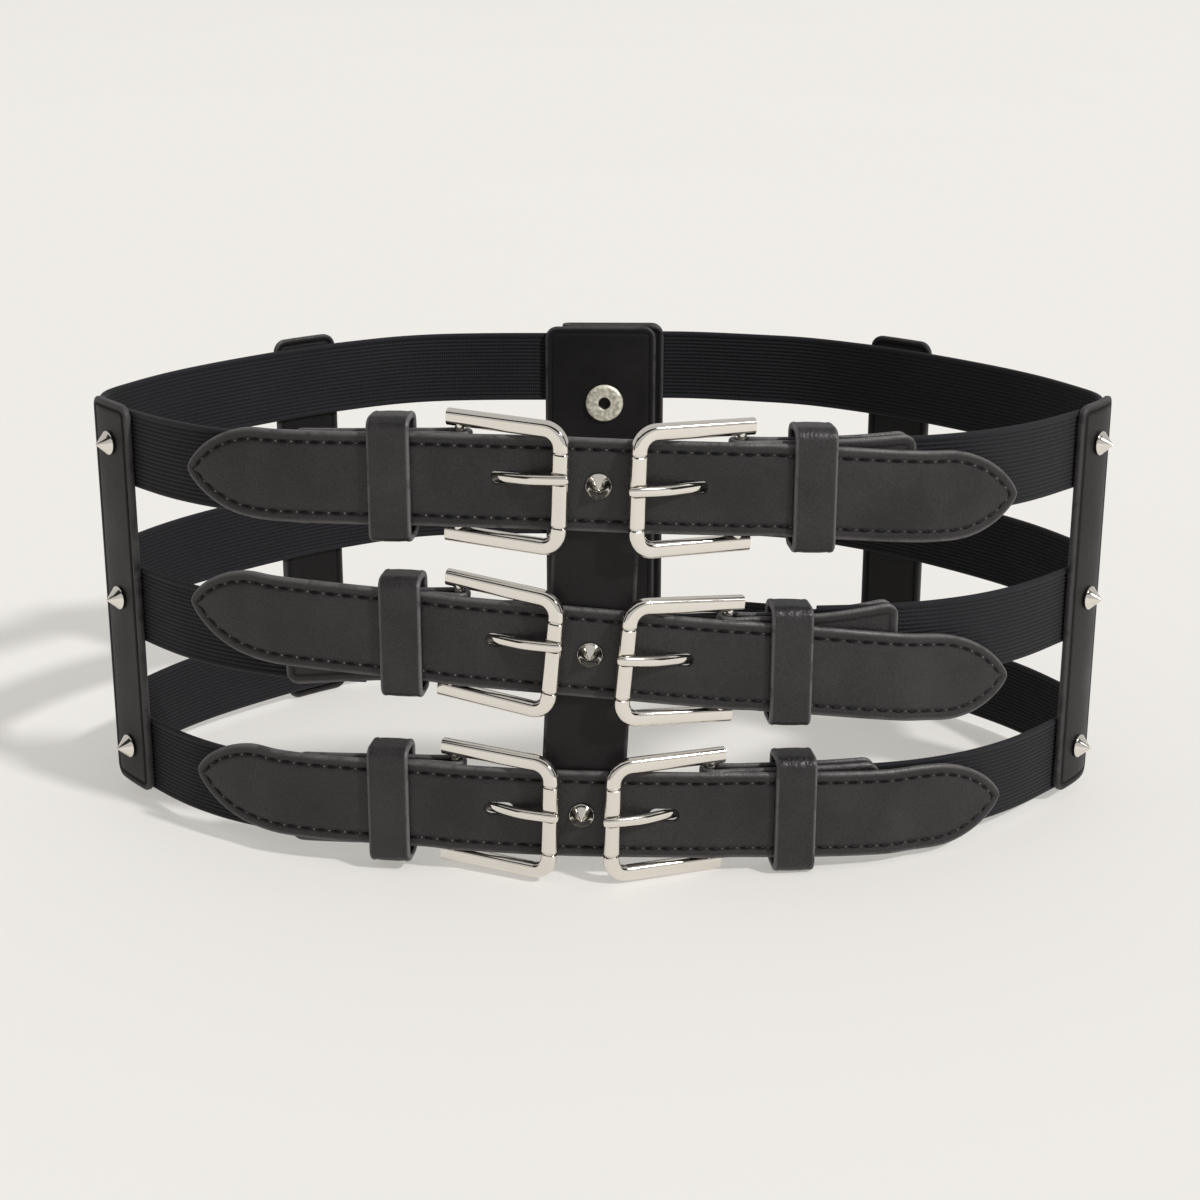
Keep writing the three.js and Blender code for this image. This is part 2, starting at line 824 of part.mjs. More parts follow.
// Snap: ring on the inner placket, barrel through both, cap on the outer placket.
function closureSnap() {
  const ring = innerOut - closureThickness / 2 - gap;
  const between = innerOut + closureThickness / 2 + gap;
  const cap = outerMiddle + bandTop + gap + closureThickness + gap;
  return turned([
    [0, ring + 0.3],
    [snapEye, ring + 0.3],
    [snapEye, ring - snapDisc],
    [snapRadius, ring - snapDisc],
    [snapRadius, ring],
    [snapBarrel, ring],
    [snapBarrel, between],
    [snapRadius * 0.85, between],
    [snapRadius * 0.85, bandTop],
    [snapBarrel, bandTop],
    [snapBarrel, cap],
    [snapRadius, cap],
    [snapRadius * 0.8, cap + snapDisc],
    [0, cap + snapDisc],
  ]);
}

// Elastic band from inside the base strap, round the side, to the back closure.
function elasticBand(row, side) {
  const front = baseEndAt(row, side) - side.sign * bandOverlap;
  const hold = side.sign > 0 ? outerRight - closureOverlap : innerLeft + closureOverlap;
  const back = side.sign > 0 ? behindAt(hold) : behindAt(hold) - loopLength;
  const shift = side.sign > 0 ? outerMiddle : 0;
  const shiftEnd = behindAt(outerRight + 2);
  const shiftStart = shiftEnd - 35;
  return loopStrip(stops(front, back, [shiftEnd]), bandThickness, (along) => ({
    out: shift * smoothBetween(along, shiftStart, shiftEnd),
    height: bandHeight(row, along),
    half: bandWidth / 2,
  }));
}

for (const row of rows) {
  add(`centre_strap_${row.name}`, centreStrap(row), materials.leather);
  const stud = studAt(row);
  add(`centre_stud_${row.name}`, centreStud(), materials.nickel,
    seat(stud, strapLift, strapHeight(row, stud)));
  for (const side of sides) {
    const tag = `${row.name}_${side.name}`;
    const spikeHeight = rowLevel(row) + sideStripLift;
    const spikeSeat = seat(sideStripAt(side), sideStripOut, spikeHeight);
    add(`buckle_frame_${tag}`, buckleFrame(), materials.nickel, frameSeat(row, side));
    add(`buckle_tongue_${tag}`, buckleTongue(), materials.nickel, heelSeat(row, side));
    add(`base_strap_${tag}`, baseStrap(row, side), materials.leather);
    add(`keeper_${tag}`, keeper(row, side), materials.leather);
    add(`elastic_${tag}`, elasticBand(row, side), materials.elastic);
    add(`side_spike_${tag}`, sideSpike(), materials.nickel, spikeSeat);
  }
}

add('front_strip', frontStrip(), materials.leather);
for (const side of sides) {
  add(`side_strip_${side.name}`, sideStrip(side), materials.leather);
  add(`back_strip_${side.name}`, uprightStrip({
    at: side.sign * backStripAt,
    width: backStripWidth,
    thickness: stripThickness,
    out: bandTop + gap + stripThickness / 2,
    below: backStripMargin,
    above: backStripMargin,
    corner: backStripCorner,
  }), materials.leather);
}
add('closure_inner', closureInner(), materials.leather);
add('closure_outer', closureOuter(), materials.leather);
snapShares.forEach((share, i) => {
  const matrix = seat(behindAt(snapAcross), 0, snapHeight(share));
  add(`closure_snap_${snapShares.length - i}`, closureSnap(), materials.nickel, matrix);
});

// The belt stands on z = 0 with the middle of its bounding box over the origin.
const group = new THREE.Group();
group.add(belt);
group.updateMatrixWorld(true);
const box = new THREE.Box3().setFromObject(group, true);
const middle = box.getCenter(new THREE.Vector3());
belt.position.set(-middle.x, -middle.y, -box.min.z);

export default group;
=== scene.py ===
import bpy
import math
import numpy as np
from mathutils import Matrix, Vector


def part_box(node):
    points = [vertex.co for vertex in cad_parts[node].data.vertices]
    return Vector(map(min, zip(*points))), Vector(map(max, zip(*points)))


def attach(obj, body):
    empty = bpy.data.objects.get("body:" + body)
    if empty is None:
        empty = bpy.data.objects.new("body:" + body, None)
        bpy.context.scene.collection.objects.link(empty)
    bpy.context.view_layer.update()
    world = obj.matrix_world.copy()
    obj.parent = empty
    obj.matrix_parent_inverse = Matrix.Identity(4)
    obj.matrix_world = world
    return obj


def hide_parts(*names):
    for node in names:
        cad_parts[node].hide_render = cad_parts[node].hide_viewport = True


# Corset belt: leather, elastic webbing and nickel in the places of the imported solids.

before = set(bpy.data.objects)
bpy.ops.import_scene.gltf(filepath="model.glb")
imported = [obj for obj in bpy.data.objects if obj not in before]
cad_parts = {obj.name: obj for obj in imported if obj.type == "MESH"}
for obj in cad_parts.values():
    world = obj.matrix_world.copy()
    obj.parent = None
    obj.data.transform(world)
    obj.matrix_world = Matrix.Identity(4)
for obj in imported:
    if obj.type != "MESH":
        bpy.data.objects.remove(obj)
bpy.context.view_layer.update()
mm = 0.001
print("frame loaded:", len(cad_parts), "nodes")

# The loop that all pieces follow, in millimetres, as in the solids
beltLoop = {
    "halfWidth": 145.8, "frontDepth": 68, "backDepth": 94,
    "shares": [(0, -1), (0.3, -0.957), (0.55, -0.865), (0.69, -0.73), (0.8, -0.55),
               (0.9, -0.315), (0.98, -0.085), (0.995, 0.06), (0.96, 0.19), (0.88, 0.385),
               (0.72, 0.65), (0.58, 0.825), (0.4, 0.965), (0, 1)],
    "stepsPerKnot": 160,
}
layers = {"gap": 0.3, "strap": 2, "base": 1.5, "band": 1.6, "strip": 1.5, "sideStrip": 2, "closure": 1.2}
rowSizes = {"pitch": 46.35, "lowest": 14.5, "rise": 4.6, "lean": 2.2, "bandWidth": 22.5}
rows = [
    {"name": "1", "level": 2, "slope": -0.03, "droop": 1, "keeper": {-1: 0.46, 1: 0.475},
     "tip": {-1: 0.97, 1: 0.99}, "buckle": {-1: 0.86, 1: 0.89}},
    {"name": "2", "level": 1, "slope": -0.09, "droop": 0.82, "keeper": {-1: 0.425, 1: 0.452},
     "tip": {-1: 0.965, 1: 1.013}, "buckle": {-1: 0.83, 1: 0.79}},
    {"name": "3", "level": 0, "slope": -0.025, "droop": 0.4, "keeper": {-1: 0.445, 1: 0.49},
     "tip": {-1: 0.958, 1: 1.03}, "buckle": {-1: 0.69, 1: 0.66}},
]
sideNames = {-1: "left", 1: "right"}


def loopSamples():
    half = np.array([(x * beltLoop["halfWidth"],
                      y * beltLoop["frontDepth" if y < 0 else "backDepth"])
                     for x, y in beltLoop["shares"]])
    knots = np.concatenate([half, half[1:-1][::-1] * (-1, 1)])
    t = (np.arange(beltLoop["stepsPerKnot"]) / beltLoop["stepsPerKnot"])[:, None]
    points = []
    for i in range(len(knots)):
        p0, p1, p2, p3 = (knots[(i + k) % len(knots)] for k in (-1, 0, 1, 2))
        d0, d1, d2 = (np.linalg.norm(b - a) ** 0.5 for a, b in ((p0, p1), (p1, p2), (p2, p3)))
        m1 = d1 * ((p1 - p0) / d0 - (p2 - p0) / (d0 + d1) + (p2 - p1) / d1)
        m2 = d1 * ((p2 - p1) / d1 - (p3 - p1) / (d1 + d2) + (p3 - p2) / d2)
        points.append(p1 + m1 * t + (3 * (p2 - p1) - 2 * m1 - m2) * t ** 2
                      + (2 * (p1 - p2) + m1 + m2) * t ** 3)
    return np.concatenate(points)


loopPoints = loopSamples()
loopClosed = np.vstack([loopPoints, loopPoints[:1]])
loopRun = np.concatenate([[0], np.cumsum(np.linalg.norm(np.diff(loopClosed, axis=0), axis=1))])
loopLength = loopRun[-1]
loopTangents = np.roll(loopPoints, -1, 0) - np.roll(loopPoints, 1, 0)
loopTangents = np.vstack([loopTangents, loopTangents[:1]])


def station(along):
    s = np.mod(along, loopLength)
    point = np.stack([np.interp(s, loopRun, loopClosed[:, k]) for k in (0, 1)], -1)
    tangent = np.stack([np.interp(s, loopRun, loopTangents[:, k]) for k in (0, 1)], -1)
    return point, tangent / np.linalg.norm(tangent, axis=-1, keepdims=True)


def loopPlace(along, out, height):  # millimetres along, outward and up, to metres in the frame
    along, out, height = np.broadcast_arrays(*(np.asarray(v, float) for v in (along, out, height)))
    point, tangent = station(along)
    x = point[..., 0] + tangent[..., 1] * out
    y = point[..., 1] - tangent[..., 0] * out
    return (np.stack([x, y, height], -1) + beltShift) * mm


def smooth(value, low, high):
    t = np.clip((value - low) / (high - low), 0, 1)
    return t * t * (3 - 2 * t)


def mix(a, b, share):
    return a + (b - a) * share


# Sizes worked out as in the solids
strapSizes = {"width": 25, "reach": 118, "tipLength": 24, "tipBlunt": 1, "tipFullness": 0.8,
              "tipLift": 0.5, "tipDroop": 6.4, "settle": 12}
baseSizes = {"reach": 47, "corner": 4, "foldBlend": 7, "bandOverlap": 22, "width": 25}
frameSizes = {"height": 36, "length": 34.5, "corner": 7, "bar": 4.5, "thickness": 3.4,
              "bevel": 1.5, "standoff": 8, "notch": 0.8, "heelRadius": 1.5, "heelInset": 3.5,
              "cornerSteps": 9, "barRoom": 0.5}
# turned: how many millimetres higher the tongue crosses the bar, by row and side
tongueSizes = {"width": 3, "thickness": 1.9, "ring": 1.3,
               "turned": {"1": {-1: 3.2, 1: 0.7}, "2": {-1: 3.4, 1: 1.3}, "3": {-1: 1.4, 1: 0.6}}}
bandTop = layers["band"] / 2
baseGap = bandTop + layers["gap"]
foldGap = frameSizes["heelRadius"] + layers["gap"]
baseTop = baseGap + layers["base"]
strapLift = foldGap + layers["base"] + layers["gap"] + layers["strap"] / 2
barLift = (strapLift + layers["strap"] / 2 + layers["gap"] + frameSizes["thickness"] / 2
           + frameSizes["barRoom"])
heelToBar = frameSizes["length"] - frameSizes["heelInset"] - frameSizes["bar"] / 2
frameTilt = math.asin(barLift / heelToBar)
tongueReach = heelToBar * math.cos(frameTilt)


def tongueRise(row, side):  # share of the length by which the tongue climbs towards the bar
    return tongueSizes["turned"][row["name"]][side] / tongueReach


frontStripOut = strapLift - layers["strap"] / 2 - layers["gap"] - layers["strip"] / 2
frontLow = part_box("front_strip")[0].y / mm
bandLow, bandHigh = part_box("elastic_3_left")[0] / mm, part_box("elastic_3_right")[1] / mm
beltShift = np.array([(bandLow.x + bandHigh.x) / 2,
                      frontLow + beltLoop["frontDepth"] + frontStripOut + layers["strip"] / 2,
                      bandLow.z - rowSizes["lowest"] + rowSizes["bandWidth"] / 2])


def rowLevel(row):
    return rowSizes["lowest"] + row["level"] * rowSizes["pitch"]


def bandHeight(row, along):
    point, _ = station(along)
    share = np.clip(1 - (point[..., 0] / beltLoop["halfWidth"]) ** 2, 0, None)
    return rowLevel(row) + np.where(point[..., 1] < 0, rowSizes["rise"] * share, 0)


def studAt(row):
    return (row["level"] - 2) * rowSizes["lean"]


def strapHeight(row, along):
    past = along - studAt(row)
    droop = strapSizes["tipDroop"] * row["droop"] * (past / strapSizes["reach"]) ** 2
    return rowLevel(row) + rowSizes["rise"] + row["slope"] * past - droop


def heelAt(row, side):
    reach = (frameSizes["length"] - frameSizes["heelInset"]) * math.cos(frameTilt)
    return studAt(row) + side * (row["buckle"][side] * frameSizes["standoff"] + reach)


def baseEndAt(row, side):
    return heelAt(row, side) + side * baseSizes["reach"]


def baseHeight(row, side, along):
    heel = heelAt(row, side)
    share = np.clip((along - heel) / (baseEndAt(row, side) - heel), 0, 1)
    return mix(strapHeight(row, along), bandHeight(row, along), share)


def strapOffset(row, along):
    side = np.where(along < studAt(row), -1, 1)
    heel = np.where(side < 0, heelAt(row, -1), heelAt(row, 1))
    pastHeel = side * (along - heel)
    onBase = baseTop + layers["gap"] + layers["strap"] / 2
    onBand = bandTop + layers["gap"] + layers["strap"] / 2 + strapSizes["tipLift"]
    first = mix(strapLift, onBase, smooth(pastHeel, 1, baseSizes["foldBlend"]))
    return mix(first, onBand, smooth(pastHeel - baseSizes["reach"], 1, strapSizes["settle"]))


def findAcross(share, behind):
    alongs = np.arange(0, loopLength / 2, 0.25)
    point, _ = station(alongs)
    miss = np.abs(point[:, 0] - share * beltLoop["halfWidth"])
    miss[(point[:, 1] > 0) != behind] = 1e9
    return alongs[np.argmin(miss)]


def seatMatrix(along, out, height, roll=0.0, tilt=0.0):  # x along the loop, y up, z outward
    _, tangent = station(np.array(along, float))
    m = Matrix.Identity(4)
    m.col[0][:3] = (tangent[0], tangent[1], 0)
    m.col[1][:3] = (0, 0, 1)
    m.col[2][:3] = (tangent[1], -tangent[0], 0)
    m.translation = Vector(loopPlace(along, out, height))
    return m @ Matrix.Rotation(roll, 4, "Z") @ Matrix.Rotation(tilt, 4, "Y") @ Matrix.Scale(mm, 4)


# Mesh helpers
def bodyFromRings(name, rings, closed=False, paired=False, run=None):
    rings = np.asarray(rings, float)
    count, around = rings.shape[:2]
    faces = []
    for r in range(count if closed else count - 1):
        nextRing = (r + 1) % count
        for k in range(around):
            across = (k + 1) % around
            faces.append((r * around + k, r * around + across,
                          nextRing * around + across, nextRing * around + k))
    if not closed:
        last = (count - 1) * around
        if paired:  # front and back points face each other, so the end is a strip of quads
            half = around // 2
            for k in range(half - 1):
                far = around - 1 - k
                faces.append((k, far, far - 1, k + 1))
                faces.append((last + k, last + k + 1, last + far - 1, last + far))
        else:
            faces.append(tuple(reversed(range(around))))
            faces.append(tuple(last + k for k in range(around)))
    mesh = bpy.data.meshes.new(name)
    mesh.from_pydata(rings.reshape(-1, 3).tolist(), [], faces)
    if signedVolume(mesh) < 0:
        mesh.flip_normals()
    if run is not None:  # surface coordinates in metres, along and round the body
        girth = np.linalg.norm(rings - np.roll(rings, 1, 1), axis=2)
        girth[:, 0] = 0
        across = np.cumsum(girth, 1)
        surface = mesh.attributes.new("surface", "FLOAT_VECTOR", "POINT")
        values = np.zeros((count, around, 3))
        values[..., 0] = np.asarray(run)[:, None] * mm
        values[..., 1] = across
        surface.data.foreach_set("vector", values.astype(np.float32).ravel())
    return mesh


def signedVolume(mesh):
    mesh.calc_loop_triangles()
    co = np.zeros(len(mesh.vertices) * 3)
    mesh.vertices.foreach_get("co", co)
    tri = np.zeros(len(mesh.loop_triangles) * 3, int)
    mesh.loop_triangles.foreach_get("vertices", tri)
    a, b, c = co.reshape(-1, 3)[tri.reshape(-1, 3)].transpose(1, 0, 2)
    return float(np.sum(a * np.cross(b, c)))


# stores per-point shares: real edge wear, and also painted shade in lines and painted highlights
def setPointShare(mesh, wear, name="edgeWearAndHighlight"):  # a share from 0 to 1 at each point, for the materials
    layer = mesh.attributes.new(name, "FLOAT", "POINT")
    layer.data.foreach_set("value", np.clip(wear, 0, 1).astype(np.float32).ravel())


def bakeModifiers(mesh, steps):
    piece = bpy.data.objects.new("bench", mesh)
    bpy.context.scene.collection.objects.link(piece)
    for kind, settings in steps:
        modifier = piece.modifiers.new(kind.lower(), kind)
        for key, value in settings.items():
            setattr(modifier, key, value)
    bpy.context.view_layer.update()
    shaped = piece.evaluated_get(bpy.context.evaluated_depsgraph_get())
    made = bpy.data.meshes.new_from_object(shaped)
    bpy.data.objects.remove(piece)
    return made


def cutWith(mesh, cutters, operation="DIFFERENCE"):
    tools = []
    for cutter in cutters:
        tool = bpy.data.objects.new("cutter", cutter)
        bpy.context.scene.collection.objects.link(tool)
        tools.append(tool)
    steps = [("BOOLEAN", {"object": tool, "operation": operation, "solver": "EXACT"})
             for tool in tools]
    made = bakeModifiers(mesh, steps)
    for tool in tools:
        bpy.data.objects.remove(tool)
    return made


def addPiece(name, mesh, material, replaced=(), sharpAngle=38):
    mesh.materials.clear()
    mesh.materials.append(material)
    mesh.shade_smooth()
    mesh.set_sharp_from_angle(angle=math.radians(sharpAngle))
    piece = bpy.data.objects.new(name, mesh)
    bpy.context.scene.collection.objects.link(piece)
    if replaced:
        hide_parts(*replaced)
    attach(piece, "root")
    return piece


def slotCutter(matrix, length, height, depth=6, steps=10):  # a slot with round ends
    radius, straight = height / 2, (length - height) / 2
    outline = []
    for end in (1, -1):
        for step in range(steps + 1):
            turn = math.pi * (step / steps - 0.5) + (0 if end > 0 else math.pi)
            outline.append((end * straight + radius * math.cos(turn), radius * math.sin(turn)))
    rings = [[matrix @ Vector((x, y, z)) for x, y in outline] for z in (-depth, depth)]
    return bodyFromRings("slot", rings)


# Leather sheet along the loop. Half height, middle and offset come from shape(along); the
# thickness follows the distance from the outline, so that edges roll and lines sink in.
def sheetRings(alongs, shape, thickness, profile, marks, line, bluntEnds=True, relief=None):
    alongs = np.asarray(alongs, float)
    step = 0.05
    rings, wear, shade = [], [], []
    marks = np.asarray(marks, float)
    for s in alongs:
        half, height, out = shape(s)
        ahead, behind = min(s + step, alongs.max()), max(s - step, alongs.min())
        slope = (shape(ahead)[0] - shape(behind)[0]) / (2 * step)
        lean = math.sqrt(1 + min(slope ** 2, 60))
        spread = marks * lean / half
        if spread[-1] > 0.98:  # narrow places draw the marks together
            spread = np.minimum(spread, np.linspace(0, 0.98, len(marks)))
        ys = half * (1 - spread)
        ys = np.concatenate([-ys, ys[::-1]]) if ys[-1] > 1e-6 else np.concatenate([-ys[:-1], ys[::-1]])
        inside = (half - np.abs(ys)) / lean
        if bluntEnds:
            inside = np.minimum(inside, min(s - alongs.min(), alongs.max() - s))
        rise = profile(inside) * thickness / 2
        dent = relief(s, ys) if relief else 0
        front = loopPlace(s, out + rise + dent, height + ys)
        back = loopPlace(s, out - np.minimum(rise, thickness / 2), height + ys)[::-1]
        rings.append(np.concatenate([front, back]))
        edge = paleEdge(inside)
        wear.append(np.concatenate([edge, edge[::-1]]))
        dark = lineShade(inside, *line)
        shade.append(np.concatenate([dark, dark[::-1]]))
    return np.array(rings), np.array(wear), np.array(shade)


def paleEdge(inside):
    return 1 - smooth(inside, 0.25, 1.1)


def lineShade(inside, at, width):
    return np.exp(-((inside - at) / width) ** 2)


def rolledEdge(inside, roll=0.9, blunt=0.5):
    t = np.clip(inside / roll, 0, 1)
    return blunt + (1 - blunt) * np.sqrt(1 - (1 - t) ** 2)


def sunkLine(inside, at, width, depth):
    return -depth * lineShade(inside, at, width)


def spacedStops(start, end, step, extra=(), near=(), nearStep=0.7, nearReach=4):
    stops = list(np.linspace(start, end, max(int(round(abs(end - start) / step)), 1) + 1))
    for centre in near:
        stops += list(np.arange(centre - nearReach, centre + nearReach + 0.01, nearStep))
    stops += list(extra)
    low, high = min(start, end), max(start, end)
    stops = np.unique(np.round([s for s in stops if low <= s <= high], 3))
    kept = [stops[0]]
    for s in stops[1:]:
        if s - kept[-1] > 0.12:
            kept.append(s)
    kept[-1] = high
    return np.array(kept)


def lathe(profile, sides):  # pairs of radius and height, turned about z
    rings = []
    for radius, height in profile:
        turn = np.arange(sides) / sides * 2 * math.pi
        rings.append(np.stack([radius * np.cos(turn), radius * np.sin(turn),
                               np.full(sides, height)], -1))
    return bodyFromRings("turned", rings)


def moved(mesh, matrix):
    copied = mesh.copy()
    copied.transform(matrix)
    return copied


# Materials
def newMaterial(name):
    material = bpy.data.materials.new(name)
    material.use_nodes = True
    nodes, links = material.node_tree.nodes, material.node_tree.links
    return material, nodes, links, nodes["Principled BSDF"]


def addNode(nodes, kind, inputs=None, **settings):
    node = nodes.new(kind)
    for key, value in settings.items():
        setattr(node, key, value)
    for key, value in (inputs or {}).items():
        node.inputs[key].default_value = value
    return node


def addRamp(nodes, low, high, lowAt=0.3, highAt=0.7):
    ramp = nodes.new("ShaderNodeValToRGB")
    for stop, colour, at in zip(ramp.color_ramp.elements, (low, high), (lowAt, highAt)):
        stop.position, stop.color = at, (*colour, 1)
    return ramp


# painted shade: the colour laid into the bottom of the pressed lines, where shade falls in the grooves
paintedLineShadeColour = (0.0025, 0.0023, 0.0026, 1)  # bottom of the pressed lines
# lineDark: how strongly the painted shade darkens the pressed lines
leatherLooks = {
    "strapLeather": {"dark": (0.0058, 0.0048, 0.0052), "light": (0.0232, 0.0198, 0.0208),
                     "edge": (0.09, 0.084, 0.086), "rough": (0.4, 0.58), "grain": 1300,
                     "grainDepth": 0.00015, "crease": 160, "creaseDepth": 0.0002, "coat": 0.04,
                     "lineDark": 0.9, "gloss": 0.4},
    "grainedLeather": {"dark": (0.005, 0.0042, 0.0046), "light": (0.0215, 0.0188, 0.0198),
                       "edge": (0.1, 0.095, 0.098), "rough": (0.36, 0.5), "grain": 1150,
                       "grainDepth": 0.00021, "crease": 120, "creaseDepth": 0.0001, "coat": 0.06,
                       "lineDark": 0, "gloss": 0.42},
    "stripLeather": {"dark": (0.0042, 0.0037, 0.0039), "light": (0.0098, 0.0087, 0.009),
                     "edge": (0.05, 0.047, 0.048), "rough": (0.42, 0.58), "grain": 1500,
                     "grainDepth": 0.00007, "crease": 140, "creaseDepth": 0.0001, "coat": 0.03,
                     "lineDark": 0.9, "gloss": 0.22},
}


def leatherMaterial(name):
    look = leatherLooks[name]
    material, nodes, links, shader = newMaterial(name)
    place = addNode(nodes, "ShaderNodeTexCoord")
    cells = addNode(nodes, "ShaderNodeTexVoronoi", {"Scale": look["grain"]}, feature="SMOOTH_F1")
    pores = addNode(nodes, "ShaderNodeTexNoise", {"Scale": look["grain"] * 1.7, "Detail": 4.0})
    creases = addNode(nodes, "ShaderNodeTexNoise",
                      {"Scale": look["crease"], "Detail": 5.0, "Distortion": 1.2})
    cloud = addNode(nodes, "ShaderNodeTexNoise", {"Scale": 38.0, "Detail": 6.0, "Roughness": 0.62})
    for texture in (cells, pores, creases, cloud):
        links.new(place.outputs["Object"], texture.inputs["Vector"])
    speckle = addNode(nodes, "ShaderNodeMath", {1: 0.45}, operation="MULTIPLY_ADD")
    links.new(pores.outputs["Fac"], speckle.inputs[0])
    mottle = addNode(nodes, "ShaderNodeMath", {1: 0.55}, operation="MULTIPLY")
    links.new(cloud.outputs["Fac"], mottle.inputs[0])
    links.new(mottle.outputs["Value"], speckle.inputs[2])
    tone = addRamp(nodes, look["dark"], look["light"], 0.4, 0.62)
    links.new(speckle.outputs["Value"], tone.inputs["Fac"])
    # pale edge colour: real wear on the cut edges, and a painted highlight where it is put on the
    # puckers between stitches
    wearAndHighlight = addNode(nodes, "ShaderNodeAttribute", attribute_name="edgeWearAndHighlight")
    patchy = addNode(nodes, "ShaderNodeMath", operation="MULTIPLY")
    links.new(wearAndHighlight.outputs["Fac"], patchy.inputs[0])
    rub = addNode(nodes, "ShaderNodeMapRange", {"From Min": 0.22, "From Max": 0.5})
    links.new(creases.outputs["Fac"], rub.inputs["Value"])
    links.new(rub.outputs["Result"], patchy.inputs[1])
    blend = addNode(nodes, "ShaderNodeMix", {"B": (*look["edge"], 1)}, data_type="RGBA")
    links.new(patchy.outputs["Value"], blend.inputs["Factor"])
    links.new(tone.outputs["Color"], blend.inputs["A"])
    # painted shade: the lineShade share darkens the pressed lines towards the painted shade colour
    sunk = addNode(nodes, "ShaderNodeAttribute", attribute_name="lineShade")
    lineShadeAmount = addNode(nodes, "ShaderNodeMath", {1: look["lineDark"]}, operation="MULTIPLY")
    links.new(sunk.outputs["Fac"], lineShadeAmount.inputs[0])
    pressed = addNode(nodes, "ShaderNodeMix", {"B": paintedLineShadeColour}, data_type="RGBA")
    links.new(lineShadeAmount.outputs["Value"], pressed.inputs["Factor"])
    links.new(blend.outputs["Result"], pressed.inputs["A"])
    links.new(pressed.outputs["Result"], shader.inputs["Base Color"])
    gloss = addNode(nodes, "ShaderNodeMapRange",
                    {"From Min": 0.3, "From Max": 0.7, "To Min": look["rough"][0],
                     "To Max": look["rough"][1]})
    links.new(cloud.outputs["Fac"], gloss.inputs["Value"])
    matt = addNode(nodes, "ShaderNodeMath", {1: 0.45}, operation="MULTIPLY_ADD")
    links.new(lineShadeAmount.outputs["Value"], matt.inputs[0])
    links.new(gloss.outputs["Result"], matt.inputs[2])
    links.new(matt.outputs["Value"], shader.inputs["Roughness"])
    shader.inputs["Specular IOR Level"].default_value = look["gloss"]
    shader.inputs["Coat Weight"].default_value = look["coat"]
    shader.inputs["Coat Roughness"].default_value = 0.3
    wrinkle = addNode(nodes, "ShaderNodeBump", {"Strength": 0.5, "Distance": look["creaseDepth"]})
    links.new(creases.outputs["Fac"], wrinkle.inputs["Height"])
    pebble = addNode(nodes, "ShaderNodeBump", {"Strength": 0.7, "Distance": look["grainDepth"]})
    links.new(cells.outputs["Distance"], pebble.inputs["Height"])
    links.new(wrinkle.outputs["Normal"], pebble.inputs["Normal"])
    pore = addNode(nodes, "ShaderNodeBump", {"Strength": 0.4, "Distance": look["grainDepth"] * 0.6})
    links.new(pores.outputs["Fac"], pore.inputs["Height"])
    links.new(pebble.outputs["Normal"], pore.inputs["Normal"])
    links.new(pore.outputs["Normal"], shader.inputs["Normal"])
    return material


# ribShare: how much the painted highlight on the rib crests lightens the webbing
elasticLook = {"dark": (0.0012, 0.0013, 0.002), "light": (0.0108, 0.011, 0.0145),
               "yarnPitch": 0.0007, "yarnDepth": 0.00005, "sheen": 0.06,
               "ribShare": 0.5, "fuzzShare": 0.62}


